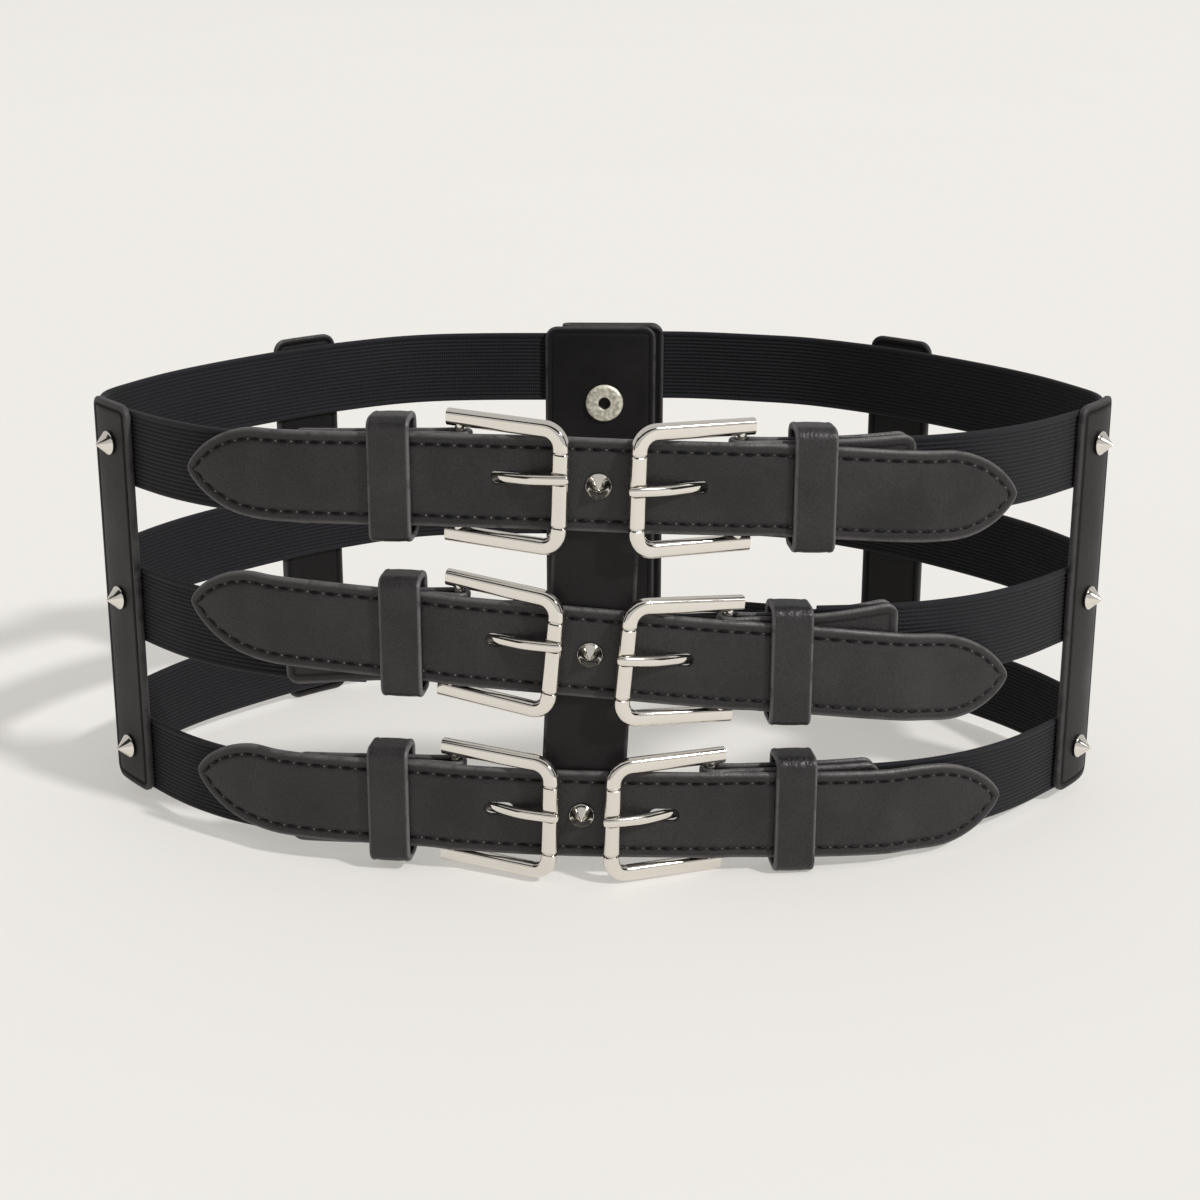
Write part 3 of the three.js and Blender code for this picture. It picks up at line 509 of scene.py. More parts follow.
def elasticMaterial():
    material, nodes, links, shader = newMaterial("elasticWebbing")
    surface = addNode(nodes, "ShaderNodeAttribute", attribute_name="surface")
    split = addNode(nodes, "ShaderNodeSeparateXYZ")
    links.new(surface.outputs["Vector"], split.inputs["Vector"])
    yarn = addNode(nodes, "ShaderNodeMath", {1: 2 * math.pi / elasticLook["yarnPitch"]},
                   operation="MULTIPLY")
    links.new(split.outputs["X"], yarn.inputs[0])
    ridge = addNode(nodes, "ShaderNodeMath", operation="SINE")
    links.new(yarn.outputs["Value"], ridge.inputs[0])
    place = addNode(nodes, "ShaderNodeTexCoord")
    fuzz = addNode(nodes, "ShaderNodeTexNoise", {"Scale": 1800.0, "Detail": 3.0})
    cloud = addNode(nodes, "ShaderNodeTexNoise", {"Scale": 55.0, "Detail": 5.0})
    for texture in (fuzz, cloud):
        links.new(place.outputs["Object"], texture.inputs["Vector"])
    # painted highlight: the crest share from the mesh makes the rib tops and the selvage lighter
    wearAndHighlight = addNode(nodes, "ShaderNodeAttribute", attribute_name="edgeWearAndHighlight")
    ribs = addNode(nodes, "ShaderNodeMath", {1: elasticLook["ribShare"]}, operation="MULTIPLY_ADD")
    links.new(wearAndHighlight.outputs["Fac"], ribs.inputs[0])
    grit = addNode(nodes, "ShaderNodeMath", {1: elasticLook["fuzzShare"]}, operation="MULTIPLY")
    links.new(fuzz.outputs["Fac"], grit.inputs[0])
    links.new(grit.outputs["Value"], ribs.inputs[2])
    tone = addRamp(nodes, elasticLook["dark"], elasticLook["light"], 0.2, 0.8)
    links.new(ribs.outputs["Value"], tone.inputs["Fac"])
    links.new(tone.outputs["Color"], shader.inputs["Base Color"])
    gloss = addNode(nodes, "ShaderNodeMapRange", {"To Min": 0.6, "To Max": 0.85})
    links.new(cloud.outputs["Fac"], gloss.inputs["Value"])
    links.new(gloss.outputs["Result"], shader.inputs["Roughness"])
    shader.inputs["Sheen Weight"].default_value = elasticLook["sheen"]
    shader.inputs["Sheen Roughness"].default_value = 0.5
    shader.inputs["Specular IOR Level"].default_value = 0.2
    weave = addNode(nodes, "ShaderNodeBump", {"Strength": 0.6, "Distance": elasticLook["yarnDepth"]})
    links.new(ridge.outputs["Value"], weave.inputs["Height"])
    fibre = addNode(nodes, "ShaderNodeBump", {"Strength": 0.6, "Distance": 0.0002})
    links.new(fuzz.outputs["Fac"], fibre.inputs["Height"])
    links.new(weave.outputs["Normal"], fibre.inputs["Normal"])
    links.new(fibre.outputs["Normal"], shader.inputs["Normal"])
    return material


nickelLook = {"bright": (0.8, 0.763, 0.703), "dull": (0.78, 0.74, 0.68), "rough": (0.06, 0.13)}


def nickelMaterial():
    material, nodes, links, shader = newMaterial("nickelPlate")
    place = addNode(nodes, "ShaderNodeTexCoord")
    cloud = addNode(nodes, "ShaderNodeTexNoise", {"Scale": 90.0, "Detail": 4.0})
    brushed = addNode(nodes, "ShaderNodeTexNoise", {"Scale": 2600.0, "Detail": 2.0})
    for texture in (cloud, brushed):
        links.new(place.outputs["Object"], texture.inputs["Vector"])
    tone = addRamp(nodes, nickelLook["dull"], nickelLook["bright"], 0.3, 0.6)
    links.new(cloud.outputs["Fac"], tone.inputs["Fac"])
    links.new(tone.outputs["Color"], shader.inputs["Base Color"])
    gloss = addNode(nodes, "ShaderNodeMapRange", {"From Min": 0.3, "From Max": 0.7,
                                                  "To Min": nickelLook["rough"][1],
                                                  "To Max": nickelLook["rough"][0]})
    links.new(cloud.outputs["Fac"], gloss.inputs["Value"])
    links.new(gloss.outputs["Result"], shader.inputs["Roughness"])
    shader.inputs["Metallic"].default_value = 1.0
    scratch = addNode(nodes, "ShaderNodeBump", {"Strength": 0.12, "Distance": 0.00002})
    links.new(brushed.outputs["Fac"], scratch.inputs["Height"])
    wave = addNode(nodes, "ShaderNodeBump", {"Strength": 0.12, "Distance": 0.00008})
    links.new(cloud.outputs["Fac"], wave.inputs["Height"])
    links.new(scratch.outputs["Normal"], wave.inputs["Normal"])
    links.new(wave.outputs["Normal"], shader.inputs["Normal"])
    return material


# eye: the colour of the painted shade in the hole of the snap
pressedLook = {"dark": (0.45, 0.42, 0.34), "light": (0.92, 0.88, 0.76), "eye": (0.012, 0.011, 0.01),
               "metal": 0.55, "rough": 0.42, "pits": 900.0, "pitDepth": 0.00012}
threadLook = {"dark": (0.0012, 0.0012, 0.0016), "light": (0.007, 0.0066, 0.0075), "strands": 4200.0,
              "strandDepth": 0.00008, "rough": 0.5, "gloss": 0.12}


def pressedMaterial():  # the dull stamped face of the snaps
    material, nodes, links, shader = newMaterial("pressedNickel")
    place = addNode(nodes, "ShaderNodeTexCoord")
    pits = addNode(nodes, "ShaderNodeTexNoise", {"Scale": pressedLook["pits"], "Detail": 4.0})
    links.new(place.outputs["Object"], pits.inputs["Vector"])
    tone = addRamp(nodes, pressedLook["dark"], pressedLook["light"], 0.34, 0.62)
    links.new(pits.outputs["Fac"], tone.inputs["Fac"])
    # painted shade: the hole of the snap is coloured dark
    eye = addNode(nodes, "ShaderNodeAttribute", attribute_name="lineShade")
    eyeShaded = addNode(nodes, "ShaderNodeMix", {"B": (*pressedLook["eye"], 1)}, data_type="RGBA")
    links.new(eye.outputs["Fac"], eyeShaded.inputs["Factor"])
    links.new(tone.outputs["Color"], eyeShaded.inputs["A"])
    links.new(eyeShaded.outputs["Result"], shader.inputs["Base Color"])
    shader.inputs["Metallic"].default_value = pressedLook["metal"]
    shader.inputs["Roughness"].default_value = pressedLook["rough"]
    rough = addNode(nodes, "ShaderNodeBump", {"Strength": 0.5, "Distance": pressedLook["pitDepth"]})
    links.new(pits.outputs["Fac"], rough.inputs["Height"])
    links.new(rough.outputs["Normal"], shader.inputs["Normal"])
    return material


def threadMaterial():
    material, nodes, links, shader = newMaterial("waxedThread")
    place = addNode(nodes, "ShaderNodeTexCoord")
    strands = addNode(nodes, "ShaderNodeTexNoise", {"Scale": threadLook["strands"], "Detail": 2.0})
    links.new(place.outputs["Object"], strands.inputs["Vector"])
    tone = addRamp(nodes, threadLook["dark"], threadLook["light"])
    links.new(strands.outputs["Fac"], tone.inputs["Fac"])
    links.new(tone.outputs["Color"], shader.inputs["Base Color"])
    shader.inputs["Roughness"].default_value = threadLook["rough"]
    shader.inputs["Specular IOR Level"].default_value = threadLook["gloss"]
    twist = addNode(nodes, "ShaderNodeBump", {"Strength": 0.6, "Distance": threadLook["strandDepth"]})
    links.new(strands.outputs["Fac"], twist.inputs["Height"])
    links.new(twist.outputs["Normal"], shader.inputs["Normal"])
    return material


strapLeather = leatherMaterial("strapLeather")
grainedLeather = leatherMaterial("grainedLeather")
stripLeather = leatherMaterial("stripLeather")
elasticWebbing = elasticMaterial()
nickelPlate = nickelMaterial()
pressedNickel = pressedMaterial()
waxedThread = threadMaterial()
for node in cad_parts.values():
    node.data.materials.clear()
    node.data.materials.append(nickelPlate)
print("materials made")

# Centre straps and their stitching
centreStrap = {
    "marks": [0, 0.3, 0.7, 1.2, 1.8, 2.4, 2.9, 3.4, 4.2, 6, 8, 10, 11.6], "stitchInset": 2.9,
    "lineDepth": 0.24, "lineWidth": 0.55, "crown": 0.1, "holeLength": 8.4, "holeHeight": 3.9,
    "holeCentre": 12.9, "holeDent": 0.3, "creases": 0.1, "postHole": 3.6, "step": 2.2,
    "wander": 0.12, "wanderRate": 0.09, "wanderPhase": 1.7, "crownFrom": 3.6, "crownTo": 9,
    "dentReach": 1.8, "creaseCount": 11, "creaseAt": 2.2, "creaseReach": 1.6, "holeStep": 0.8,
    "holeNear": 7,
    "tipStops": [0.05, 0.2, 0.5, 0.9, 1.4, 2, 2.8, 3.6, 4.6, 5.8, 7.2, 8.8],
}
stitching = {"length": 3.1, "pitch": 4.3, "radius": 0.42, "sink": 0.16, "sides": 7,
             "puckerRadius": 0.36, "puckerHighlight": 0.75}
# along: share of the length; lift: share of the radius above the leather; size: share of the radius
threadShape = [
    {"along": 0, "lift": -0.9, "size": 0.45}, {"along": 0.07, "lift": -0.3, "size": 0.8},
    {"along": 0.25, "lift": 0.35, "size": 1}, {"along": 0.5, "lift": 0.5, "size": 1},
    {"along": 0.75, "lift": 0.35, "size": 1}, {"along": 0.93, "lift": -0.3, "size": 0.8},
    {"along": 1, "lift": -0.9, "size": 0.45},
]
puckerShape = [
    {"along": 0, "lift": -0.5, "size": 0.3}, {"along": 0.2, "lift": 0, "size": 0.8},
    {"along": 0.5, "lift": 0.25, "size": 1}, {"along": 0.8, "lift": 0, "size": 0.8},
    {"along": 1, "lift": -0.5, "size": 0.3},
]


def strapEnds(row):
    return [studAt(row) + side * strapSizes["reach"] * row["tip"][side] for side in (-1, 1)]


def strapHalf(row, along):
    low, high = strapEnds(row)
    fromEnd = np.minimum(along - low, high - along)
    share = np.clip(1 - fromEnd / strapSizes["tipLength"], 0, 1)
    taper = (1 - share ** 2) ** strapSizes["tipFullness"]
    return mix(strapSizes["tipBlunt"], strapSizes["width"] / 2, taper)


def strapProfile(inside):
    crown = centreStrap["crown"] * smooth(inside, centreStrap["crownFrom"], centreStrap["crownTo"])
    return (rolledEdge(inside) + sunkLine(inside, centreStrap["stitchInset"],
                                          centreStrap["lineWidth"], centreStrap["lineDepth"]) + crown)


def makeCentreStrap(row):
    low, high = strapEnds(row)
    holes = [heelAt(row, side) - side * centreStrap["holeCentre"] for side in (-1, 1)]
    tips = [end + turn * past for end, turn in ((low, 1), (high, -1))
            for past in centreStrap["tipStops"]]
    stops = spacedStops(low, high, centreStrap["step"], tips, holes, centreStrap["holeStep"],
                        centreStrap["holeNear"])
    phase = row["level"] * centreStrap["wanderPhase"]

    def shape(s):
        drift = centreStrap["wander"] * math.sin(s * centreStrap["wanderRate"] + phase)
        return strapHalf(row, s), strapHeight(row, s) + drift, strapOffset(row, s)

    def relief(s, ys):  # leather pulled down round the tongue holes, with creases fanning out
        dent = np.zeros_like(ys)
        straight = (centreStrap["holeLength"] - centreStrap["holeHeight"]) / 2
        for at, side in zip(holes, (-1, 1)):
            reach = max(abs(s - at) - straight, 0)
            climb = tongueRise(row, side)
            middle = climb * centreStrap["holeCentre"] + (row["slope"] - side * climb) * (s - at)
            away = np.hypot(reach, ys - middle) - centreStrap["holeHeight"] / 2
            near = lineShade(np.clip(away, 0, None), 0, centreStrap["dentReach"])
            angle = np.arctan2(ys, s - at)
            fan = (np.cos(angle * centreStrap["creaseCount"] + row["level"])
                   * lineShade(away, centreStrap["creaseAt"], centreStrap["creaseReach"]))
            onFarSide = 0.5 + 0.5 * np.sign(side * (s - at))
            dent -= centreStrap["holeDent"] * near + centreStrap["creases"] * fan * onFarSide
        return dent

    line = (centreStrap["stitchInset"], centreStrap["lineWidth"])
    rings, wear, shade = sheetRings(stops, shape, layers["strap"], strapProfile,
                                    centreStrap["marks"], line, False, relief)
    mesh = bodyFromRings("strap", rings, paired=True, run=stops)
    setPointShare(mesh, wear)
    setPointShare(mesh, shade, "lineShade")
    roll = math.atan(row["slope"])
    cutters = []
    for at, side in zip(holes, (-1, 1)):
        climb = tongueRise(row, side)
        seat = seatMatrix(at, strapLift, strapHeight(row, at) + climb * centreStrap["holeCentre"],
                          roll - side * math.atan(climb))
        cutters.append(slotCutter(seat, centreStrap["holeLength"], centreStrap["holeHeight"]))
    stud = seatMatrix(studAt(row), strapLift, strapHeight(row, studAt(row)))
    cutters.append(slotCutter(stud, centreStrap["postHole"], centreStrap["postHole"]))
    mesh = cutWith(mesh, cutters)
    addPiece("strap_" + row["name"], mesh, strapLeather,
             ["centre_strap_" + row["name"]])


def insetLine(row, inset):  # the outline of the strap moved in, one side and back along the other
    low, high = strapEnds(row)
    alongs = np.linspace(low + 0.02, high - 0.02, 900)
    half = strapHalf(row, alongs)
    slope = np.gradient(half, alongs)
    lean = np.sqrt(1 + slope ** 2)
    x, y = alongs + inset * slope / lean, half - inset / lean
    keep = y > 0.15
    x, y = x[keep], y[keep]
    order = np.maximum.accumulate(x)
    steady = x >= order - 1e-9
    x, y = x[steady], y[steady]
    line = np.concatenate([np.stack([x, y], -1), np.stack([x, -y], -1)[::-1]])
    return np.vstack([line, line[:1]])


def beadRings(line, run, start, length, radius, stages, surfaceAt):
    rings = []
    for stage in stages:
        at, size = start + stage["along"] * length, stage["size"]
        point = [np.interp(at, run, line[:, k]) for k in (0, 1)]
        ahead = [np.interp(at + 0.2, run, line[:, k]) - point[k] for k in (0, 1)]
        direction = np.array(ahead) / (np.hypot(*ahead) + 1e-9)
        turn = np.arange(stitching["sides"]) / stitching["sides"] * 2 * math.pi
        across = radius * size * np.cos(turn)
        outward = radius * (size * np.sin(turn) + stage["lift"]) - stitching["sink"]
        rings.append(surfaceAt(point[0] - direction[1] * across, point[1] + direction[0] * across,
                               outward))
    return np.array(rings)


def threadRun(line, surfaceAt, name):  # stitches along a line on a leather face, then the puckers
    run = np.concatenate([[0], np.cumsum(np.linalg.norm(np.diff(line, axis=0), axis=1))])
    count = int(run[-1] // stitching["pitch"])
    threads, puckers = [], []
    for i in range(count):
        start = run[-1] * i / count
        threads.append(beadRings(line, run, start, stitching["length"], stitching["radius"],
                                 threadShape, surfaceAt))
        rest = run[-1] / count - stitching["length"]
        puckers.append(beadRings(line, run, start + stitching["length"] + 0.1, rest - 0.2,
                                 stitching["puckerRadius"], puckerShape, surfaceAt))
    return joinedBodies(name, threads), joinedBodies(name, puckers)


def joinedBodies(name, bodies):
    points, faces = [], []
    for rings in bodies:
        count, around = rings.shape[:2]
        base = sum(len(p) for p in points)
        points.append(rings.reshape(-1, 3))
        for r in range(count - 1):
            for k in range(around):
                across = (k + 1) % around
                faces.append((base + r * around + k, base + r * around + across,
                              base + (r + 1) * around + across, base + (r + 1) * around + k))
        faces.append(tuple(base + k for k in reversed(range(around))))
        faces.append(tuple(base + (count - 1) * around + k for k in range(around)))
    mesh = bpy.data.meshes.new(name)
    mesh.from_pydata(np.concatenate(points).tolist(), [], faces)
    if signedVolume(mesh) < 0:
        mesh.flip_normals()
    return mesh


def stitchCentreStrap(row):
    face = layers["strap"] / 2 - centreStrap["lineDepth"] * layers["strap"] / 2

    def surfaceAt(along, up, outward):
        return loopPlace(along, strapOffset(row, along) + face + outward,
                         strapHeight(row, along) + up)

    line = insetLine(row, centreStrap["stitchInset"])
    threads, puckers = threadRun(line, surfaceAt, "stitches")
    # painted highlight: the puckers get the pale leather colour, which stands in for the glints between
    # stitches
    setPointShare(puckers, np.full(len(puckers.vertices), stitching["puckerHighlight"]))
    addPiece("stitches_" + row["name"], threads, waxedThread)
    addPiece("puckers_" + row["name"], puckers, strapLeather)


for row in rows:
    makeCentreStrap(row)
    stitchCentreStrap(row)
print("centre straps and stitches made")

# Base straps, folded round the heel bars
baseStrap = {"marks": [0, 0.25, 0.6, 1.1, 1.8, 2.5, 3.2, 5, 8, 11.6], "lineAt": 2.5,
             "lineWidth": 0.5, "lineDepth": 0.16, "edgeRoll": 0.7, "slotHeight": 5, "slotRoom": 3,
             "foldSteps": 9, "step": 2.4}


def foldCourse(end, fold, sign, middle, openGap, roundGap, blend, thickness, step, steps):
    inward = spacedStops(end, fold, step, [end - sign * p for p in (0.1, 0.3, 0.7, 1.2, 2, 3, 4)])
    inward = inward if sign < 0 else inward[::-1]

    def layer(s):
        return mix(openGap, roundGap, 1 - smooth(np.abs(s - fold), 0, blend)) + thickness / 2

    course = [(s, middle + layer(s)) for s in inward]
    radius = roundGap + thickness / 2
    for turn in range(1, steps):
        angle = turn / steps * math.pi
        course.append((fold - sign * radius * math.sin(angle), middle + radius * math.cos(angle)))
    course += [(s, middle - layer(s)) for s in inward[::-1]]
    return np.array(course)


def cornerHalf(half, corner, fromEnd):
    inside = max(corner - fromEnd, 0)
    return half - corner + math.sqrt(max(corner ** 2 - inside ** 2, 0))


def foldedRings(course, thickness, shape, profile, marks, line, end, endSteps=12):
    marks = np.asarray(marks, float)
    rings, wear, shade, run = [], [], [], [0]
    for i, (s, out) in enumerate(course):
        before, after = course[max(i - 1, 0)], course[min(i + 1, len(course) - 1)]
        dx, dy = after - before
        length = math.hypot(dx, dy) + 1e-9
        dx, dy = dx / length, dy / length
        half, height, lean = shape(s)
        spread = np.minimum(marks / half, np.linspace(0, 1, len(marks)) * 0.97)
        ys = half * (1 - spread)
        ys = np.concatenate([-ys, ys[::-1]])
        inside = half - np.abs(ys)
        if i < endSteps or i >= len(course) - endSteps:
            inside = np.minimum(inside, abs(s - end))
        rise = profile(inside) * thickness / 2
        shift = -lean * ys
        outer = loopPlace(s + shift - dy * rise, out + dx * rise, height + ys)
        inner = loopPlace(s + shift + dy * rise, out - dx * rise, height + ys)[::-1]
        rings.append(np.concatenate([outer, inner]))
        edge, dark = paleEdge(inside), lineShade(inside, *line)
        wear.append(np.concatenate([edge, edge[::-1]]))
        shade.append(np.concatenate([dark, dark[::-1]]))
        if i:
            run.append(run[-1] + length)
    return np.array(rings), np.array(wear), np.array(shade), np.array(run)


def basePieceProfile(inside):
    return (rolledEdge(inside, baseStrap["edgeRoll"])
            + sunkLine(inside, baseStrap["lineAt"], baseStrap["lineWidth"], baseStrap["lineDepth"]))


def heelMatrix(row, side, tilt=0.0):
    heel = heelAt(row, side)
    roll = math.atan(row["slope"]) + (math.pi if side < 0 else 0)
    return seatMatrix(heel, 0, strapHeight(row, heel), roll, tilt)


def makeBaseStrap(row, side):
    heel, end = heelAt(row, side), baseEndAt(row, side)
    course = foldCourse(end, heel, side, 0, baseGap, foldGap, baseSizes["foldBlend"],
                        layers["base"], baseStrap["step"], baseStrap["foldSteps"])

    def shape(s):
        fromEnd = abs(end - s)
        return (cornerHalf(baseSizes["width"] / 2, baseSizes["corner"], fromEnd),
                baseHeight(row, side, s), row["slope"] * min(fromEnd / baseSizes["reach"], 1))

    line = (baseStrap["lineAt"], baseStrap["lineWidth"])
    rings, wear, shade, run = foldedRings(course, layers["base"], shape, basePieceProfile,
                                          baseStrap["marks"], line, end)
    mesh = bodyFromRings("base", rings, paired=True, run=run)
    setPointShare(mesh, wear)
    setPointShare(mesh, shade, "lineShade")
    reach = (foldGap + layers["base"]) * 2 + baseStrap["slotRoom"]
    matrix = heelMatrix(row, side) @ Matrix.Translation((-0.1 * reach, 0, 0))
    mesh = cutWith(mesh, [slotCutter(matrix, reach, baseStrap["slotHeight"], reach)])
    tag = row["name"] + "_" + sideNames[side]
    addPiece("base_" + tag, mesh, strapLeather, ["base_strap_" + tag])


for row in rows:
    for side in (-1, 1):
        makeBaseStrap(row, side)
print("base straps made")

# Elastic bands with woven ribs
elasticBand = {"ribs": 19, "ribHeight": 0.32, "edgeRoll": 0.9, "edgeBlunt": 0.35,
               "step": 2.6, "ribSteps": 6, "overlap": 12, "lipHeight": 0.16, "lipAt": 0.75,
               "lipWidth": 0.4, "liftLength": 35, "liftPast": 2}
closure = {"innerLeft": -19, "innerRight": 17.3, "outerLeft": -13.5, "outerRight": 20, "top": 2.5,
           "corner": 4, "snapAcross": 0.5, "snapShares": [0.21, 0.5, 0.79], "snapHole": 5.6,
           "step": 2.2, "foldSteps": 9}
outerMiddle = bandTop + layers["gap"] + layers["closure"] + layers["gap"] + bandTop


def behindAt(across):
    return loopLength / 2 - across


def makeElastic(row, side):
    front = baseEndAt(row, side) - side * baseSizes["bandOverlap"]
    edge = closure["outerRight"] if side > 0 else closure["innerLeft"]
    hold = edge - side * elasticBand["overlap"]
    back = behindAt(hold) if side > 0 else behindAt(hold) - loopLength
    shift = outerMiddle if side > 0 else 0
    liftEnd = behindAt(closure["outerRight"] + elasticBand["liftPast"])
    stops = spacedStops(front, back, elasticBand["step"], [liftEnd])
    half, thick = rowSizes["bandWidth"] / 2, layers["band"] / 2
    ys = np.linspace(-half, half, elasticBand["ribs"] * elasticBand["ribSteps"] + 1)
    wave = 0.5 + 0.5 * np.cos(ys / rowSizes["bandWidth"] * elasticBand["ribs"] * 2 * math.pi)
    inside = half - np.abs(ys)
    wave = mix(0.25, wave, smooth(inside, 0.8, 1.7))  # the selvage has no ribs
    face = (thick * rolledEdge(inside, elasticBand["edgeRoll"], elasticBand["edgeBlunt"])
            - elasticBand["ribHeight"] * wave)
    face += elasticBand["lipHeight"] * lineShade(inside, elasticBand["lipAt"], elasticBand["lipWidth"])
    rings = []
    for s in stops:
        out = shift * smooth(s, liftEnd - elasticBand["liftLength"], liftEnd)
        height = bandHeight(row, s)
        front3d = loopPlace(s, out + face, height + ys)
        back3d = loopPlace(s, out - face, height + ys)[::-1]
        rings.append(np.concatenate([front3d, back3d]))
    mesh = bodyFromRings("elastic", rings, paired=True, run=stops)
    # painted highlight: the rib crests and the rib-free selvage get the lighter colour, as if lit
    crest = np.tile(np.concatenate([1 - wave, (1 - wave)[::-1]]), (len(stops), 1))
    setPointShare(mesh, crest)
    tag = row["name"] + "_" + sideNames[side]
    addPiece("webbing_" + tag, mesh, elasticWebbing, ["elastic_" + tag], 70)


for row in rows:
    for side in (-1, 1):
        makeElastic(row, side)
print("elastic bands made")

# Buckles
buckleFrame = {"bevelSteps": 7, "seamDip": 0.3, "seamAt": 1.2, "notchSlope": 0.3, "heelSides": 28}
# past: distance from the seam; dip: share of the seam's depth
seamShape = [{"past": 0.45, "dip": 0}, {"past": 0.16, "dip": 0.8}, {"past": 0, "dip": 1},
             {"past": -0.16, "dip": 0.8}, {"past": -0.45, "dip": 0}]


def roundedSection(w, t, corner, steps):  # rectangle with round corners, across and out
    section = []
    for i, (sx, sy) in enumerate(((1, 1), (-1, 1), (-1, -1), (1, -1))):
        for step in range(steps + 1):
            angle = (i + step / steps) * math.pi / 2
            section.append((sx * (w - corner) + corner * math.cos(angle),
                            sy * (t - corner) + corner * math.sin(angle)))
    return section


def frameMesh(notchAt):
    size = frameSizes
    far, near = size["heelInset"], size["heelInset"] - size["length"] + size["bar"] / 2
    rise, bend = (size["height"] - size["bar"]) / 2, size["corner"] - size["bar"] / 2
    arm = [far, far - 6, far - 14, near + bend + 3.2]
    course = [(x, rise, 90, 0) for x in arm]
    seam = rise - bend - buckleFrame["seamAt"]
    seams = [(seam + stop["past"], stop["dip"]) for stop in seamShape]
    for corner, start in ((1, 90), (-1, 180)):
        for step in range(size["cornerSteps"] + 1):
            angle = start + step / size["cornerSteps"] * 90
            turn = math.radians(angle)
            course.append((near + bend + bend * math.cos(turn),
                           corner * (rise - bend) + bend * math.sin(turn), angle, 0))
        if corner > 0:
            course += [(near, y, 180, dip) for y, dip in seams]
            course += [(near, 4, 180, 0), (near, -4, 180, 0)]
            course += [(near, -y, 180, dip) for y, dip in seams[::-1]]
    course += [(x, -rise, 270, 0) for x in arm[::-1]]
    w, t = size["bar"] / 2, size["thickness"] / 2
    section = roundedSection(w, t, size["bevel"], buckleFrame["bevelSteps"])
    rings = []
    for x, y, angle, dip in course:
        turn, narrow = math.radians(angle), 1 - dip * buckleFrame["seamDip"] / w
        rings.append([(x + across * narrow * math.cos(turn), y + across * narrow * math.sin(turn),
                       out * narrow) for across, out in section])
    body = bodyFromRings("frame", rings)
    heel = lathe([(size["heelRadius"], -rise), (size["heelRadius"], rise)],
                 buckleFrame["heelSides"])
    heel.transform(Matrix.Rotation(math.pi / 2, 4, "X"))
    body = cutWith(body, [heel], "UNION")
    slope, half = buckleFrame["notchSlope"], tongueSizes["width"] / 2 + layers["gap"]
    section = [(-half - slope, t + 1), (-half + slope, t - size["notch"]),
               (half - slope, t - size["notch"]), (half + slope, t + 1)]
    notch = bodyFromRings("notch", [[(x, y + notchAt, z) for y, z in section]
                                    for x in (near - 5, near + 5)])
    return cutWith(body, [notch])


tongueTable = [
    {"along": 0.18, "lift": 0.01, "thickness": 0.62, "width": 1},
    {"along": 0.33, "lift": 0.03, "thickness": 0.62, "width": 1},
    {"along": 0.48, "lift": 0.3, "thickness": 0.85, "width": 1},
    {"along": 0.65, "lift": 0.64, "thickness": 1, "width": 1},
    {"along": 0.8, "lift": 0.82, "thickness": 1, "width": 1},
    {"along": 1, "lift": 1, "thickness": 1, "width": 0.95},
    {"along": 1.06, "lift": 1.035, "thickness": 0.9, "width": 0.9},
    {"along": 1.1, "lift": 1.04, "thickness": 0.5, "width": 0.75},
]


def tongueMesh():
    size = tongueSizes
    radius = frameSizes["heelRadius"] + 0.2 + size["ring"] / 2
    seat = (barLift + frameSizes["thickness"] / 2 - frameSizes["notch"] + layers["gap"]
            + size["thickness"] / 2)
    course = []
    for step in range(9):  # the ring round the heel bar
        angle = math.radians(200 + step / 8 * 250)
        course.append((radius * math.cos(angle), radius * math.sin(angle), size["ring"], size["width"]))
    for stop in tongueTable:
        course.append((-stop["along"] * tongueReach, mix(radius, seat, stop["lift"]),
                       stop["thickness"] * size["thickness"], stop["width"] * size["width"]))
    rings = []
    for i, (x, z, thickness, width) in enumerate(course):
        before, after = course[max(i - 1, 0)], course[min(i + 1, len(course) - 1)]
        dx, dz = after[0] - before[0], after[1] - before[1]
        length = math.hypot(dx, dz)
        dx, dz = dx / length, dz / length
        t, w = thickness / 2, width / 2
        section = [(-w, -t * 0.8), (-w * 0.8, -t), (0, -t), (w * 0.8, -t), (w, -t * 0.8), (w, t * 0.2),
                   (w * 0.66, t * 0.9), (0, t), (-w * 0.66, t * 0.9), (-w, t * 0.2)]
        rings.append([(x + dz * out, across, z - dx * out) for across, out in section])
    body = bodyFromRings("tongue", rings)
    return bakeModifiers(body, [("SUBSURF", {"levels": 2, "render_levels": 2})])


sharedTongue = tongueMesh()
for row in rows:
    for side in (-1, 1):
        tag = row["name"] + "_" + sideNames[side]
        aside = tongueSizes["turned"][row["name"]][side]  # how high the tongue crosses the bar
        turn = Matrix.Rotation(-side * math.asin(tongueRise(row, side)), 4, "Z")
        frameBody = moved(frameMesh(side * aside), heelMatrix(row, side, frameTilt))
        addPiece("frame_" + tag, frameBody, nickelPlate, ["buckle_frame_" + tag], 32)
        addPiece("tongue_" + tag, moved(sharedTongue, heelMatrix(row, side) @ turn), nickelPlate,
                 ["buckle_tongue_" + tag], 50)
print("buckles made")

# Keeper loops
keeperLoop = {"width": 11.2, "height": 34.2, "thickness": 1.8, "corner": 2.6, "cornerSteps": 6,
              "faceSteps": 9, "paleEdge": 0.4}


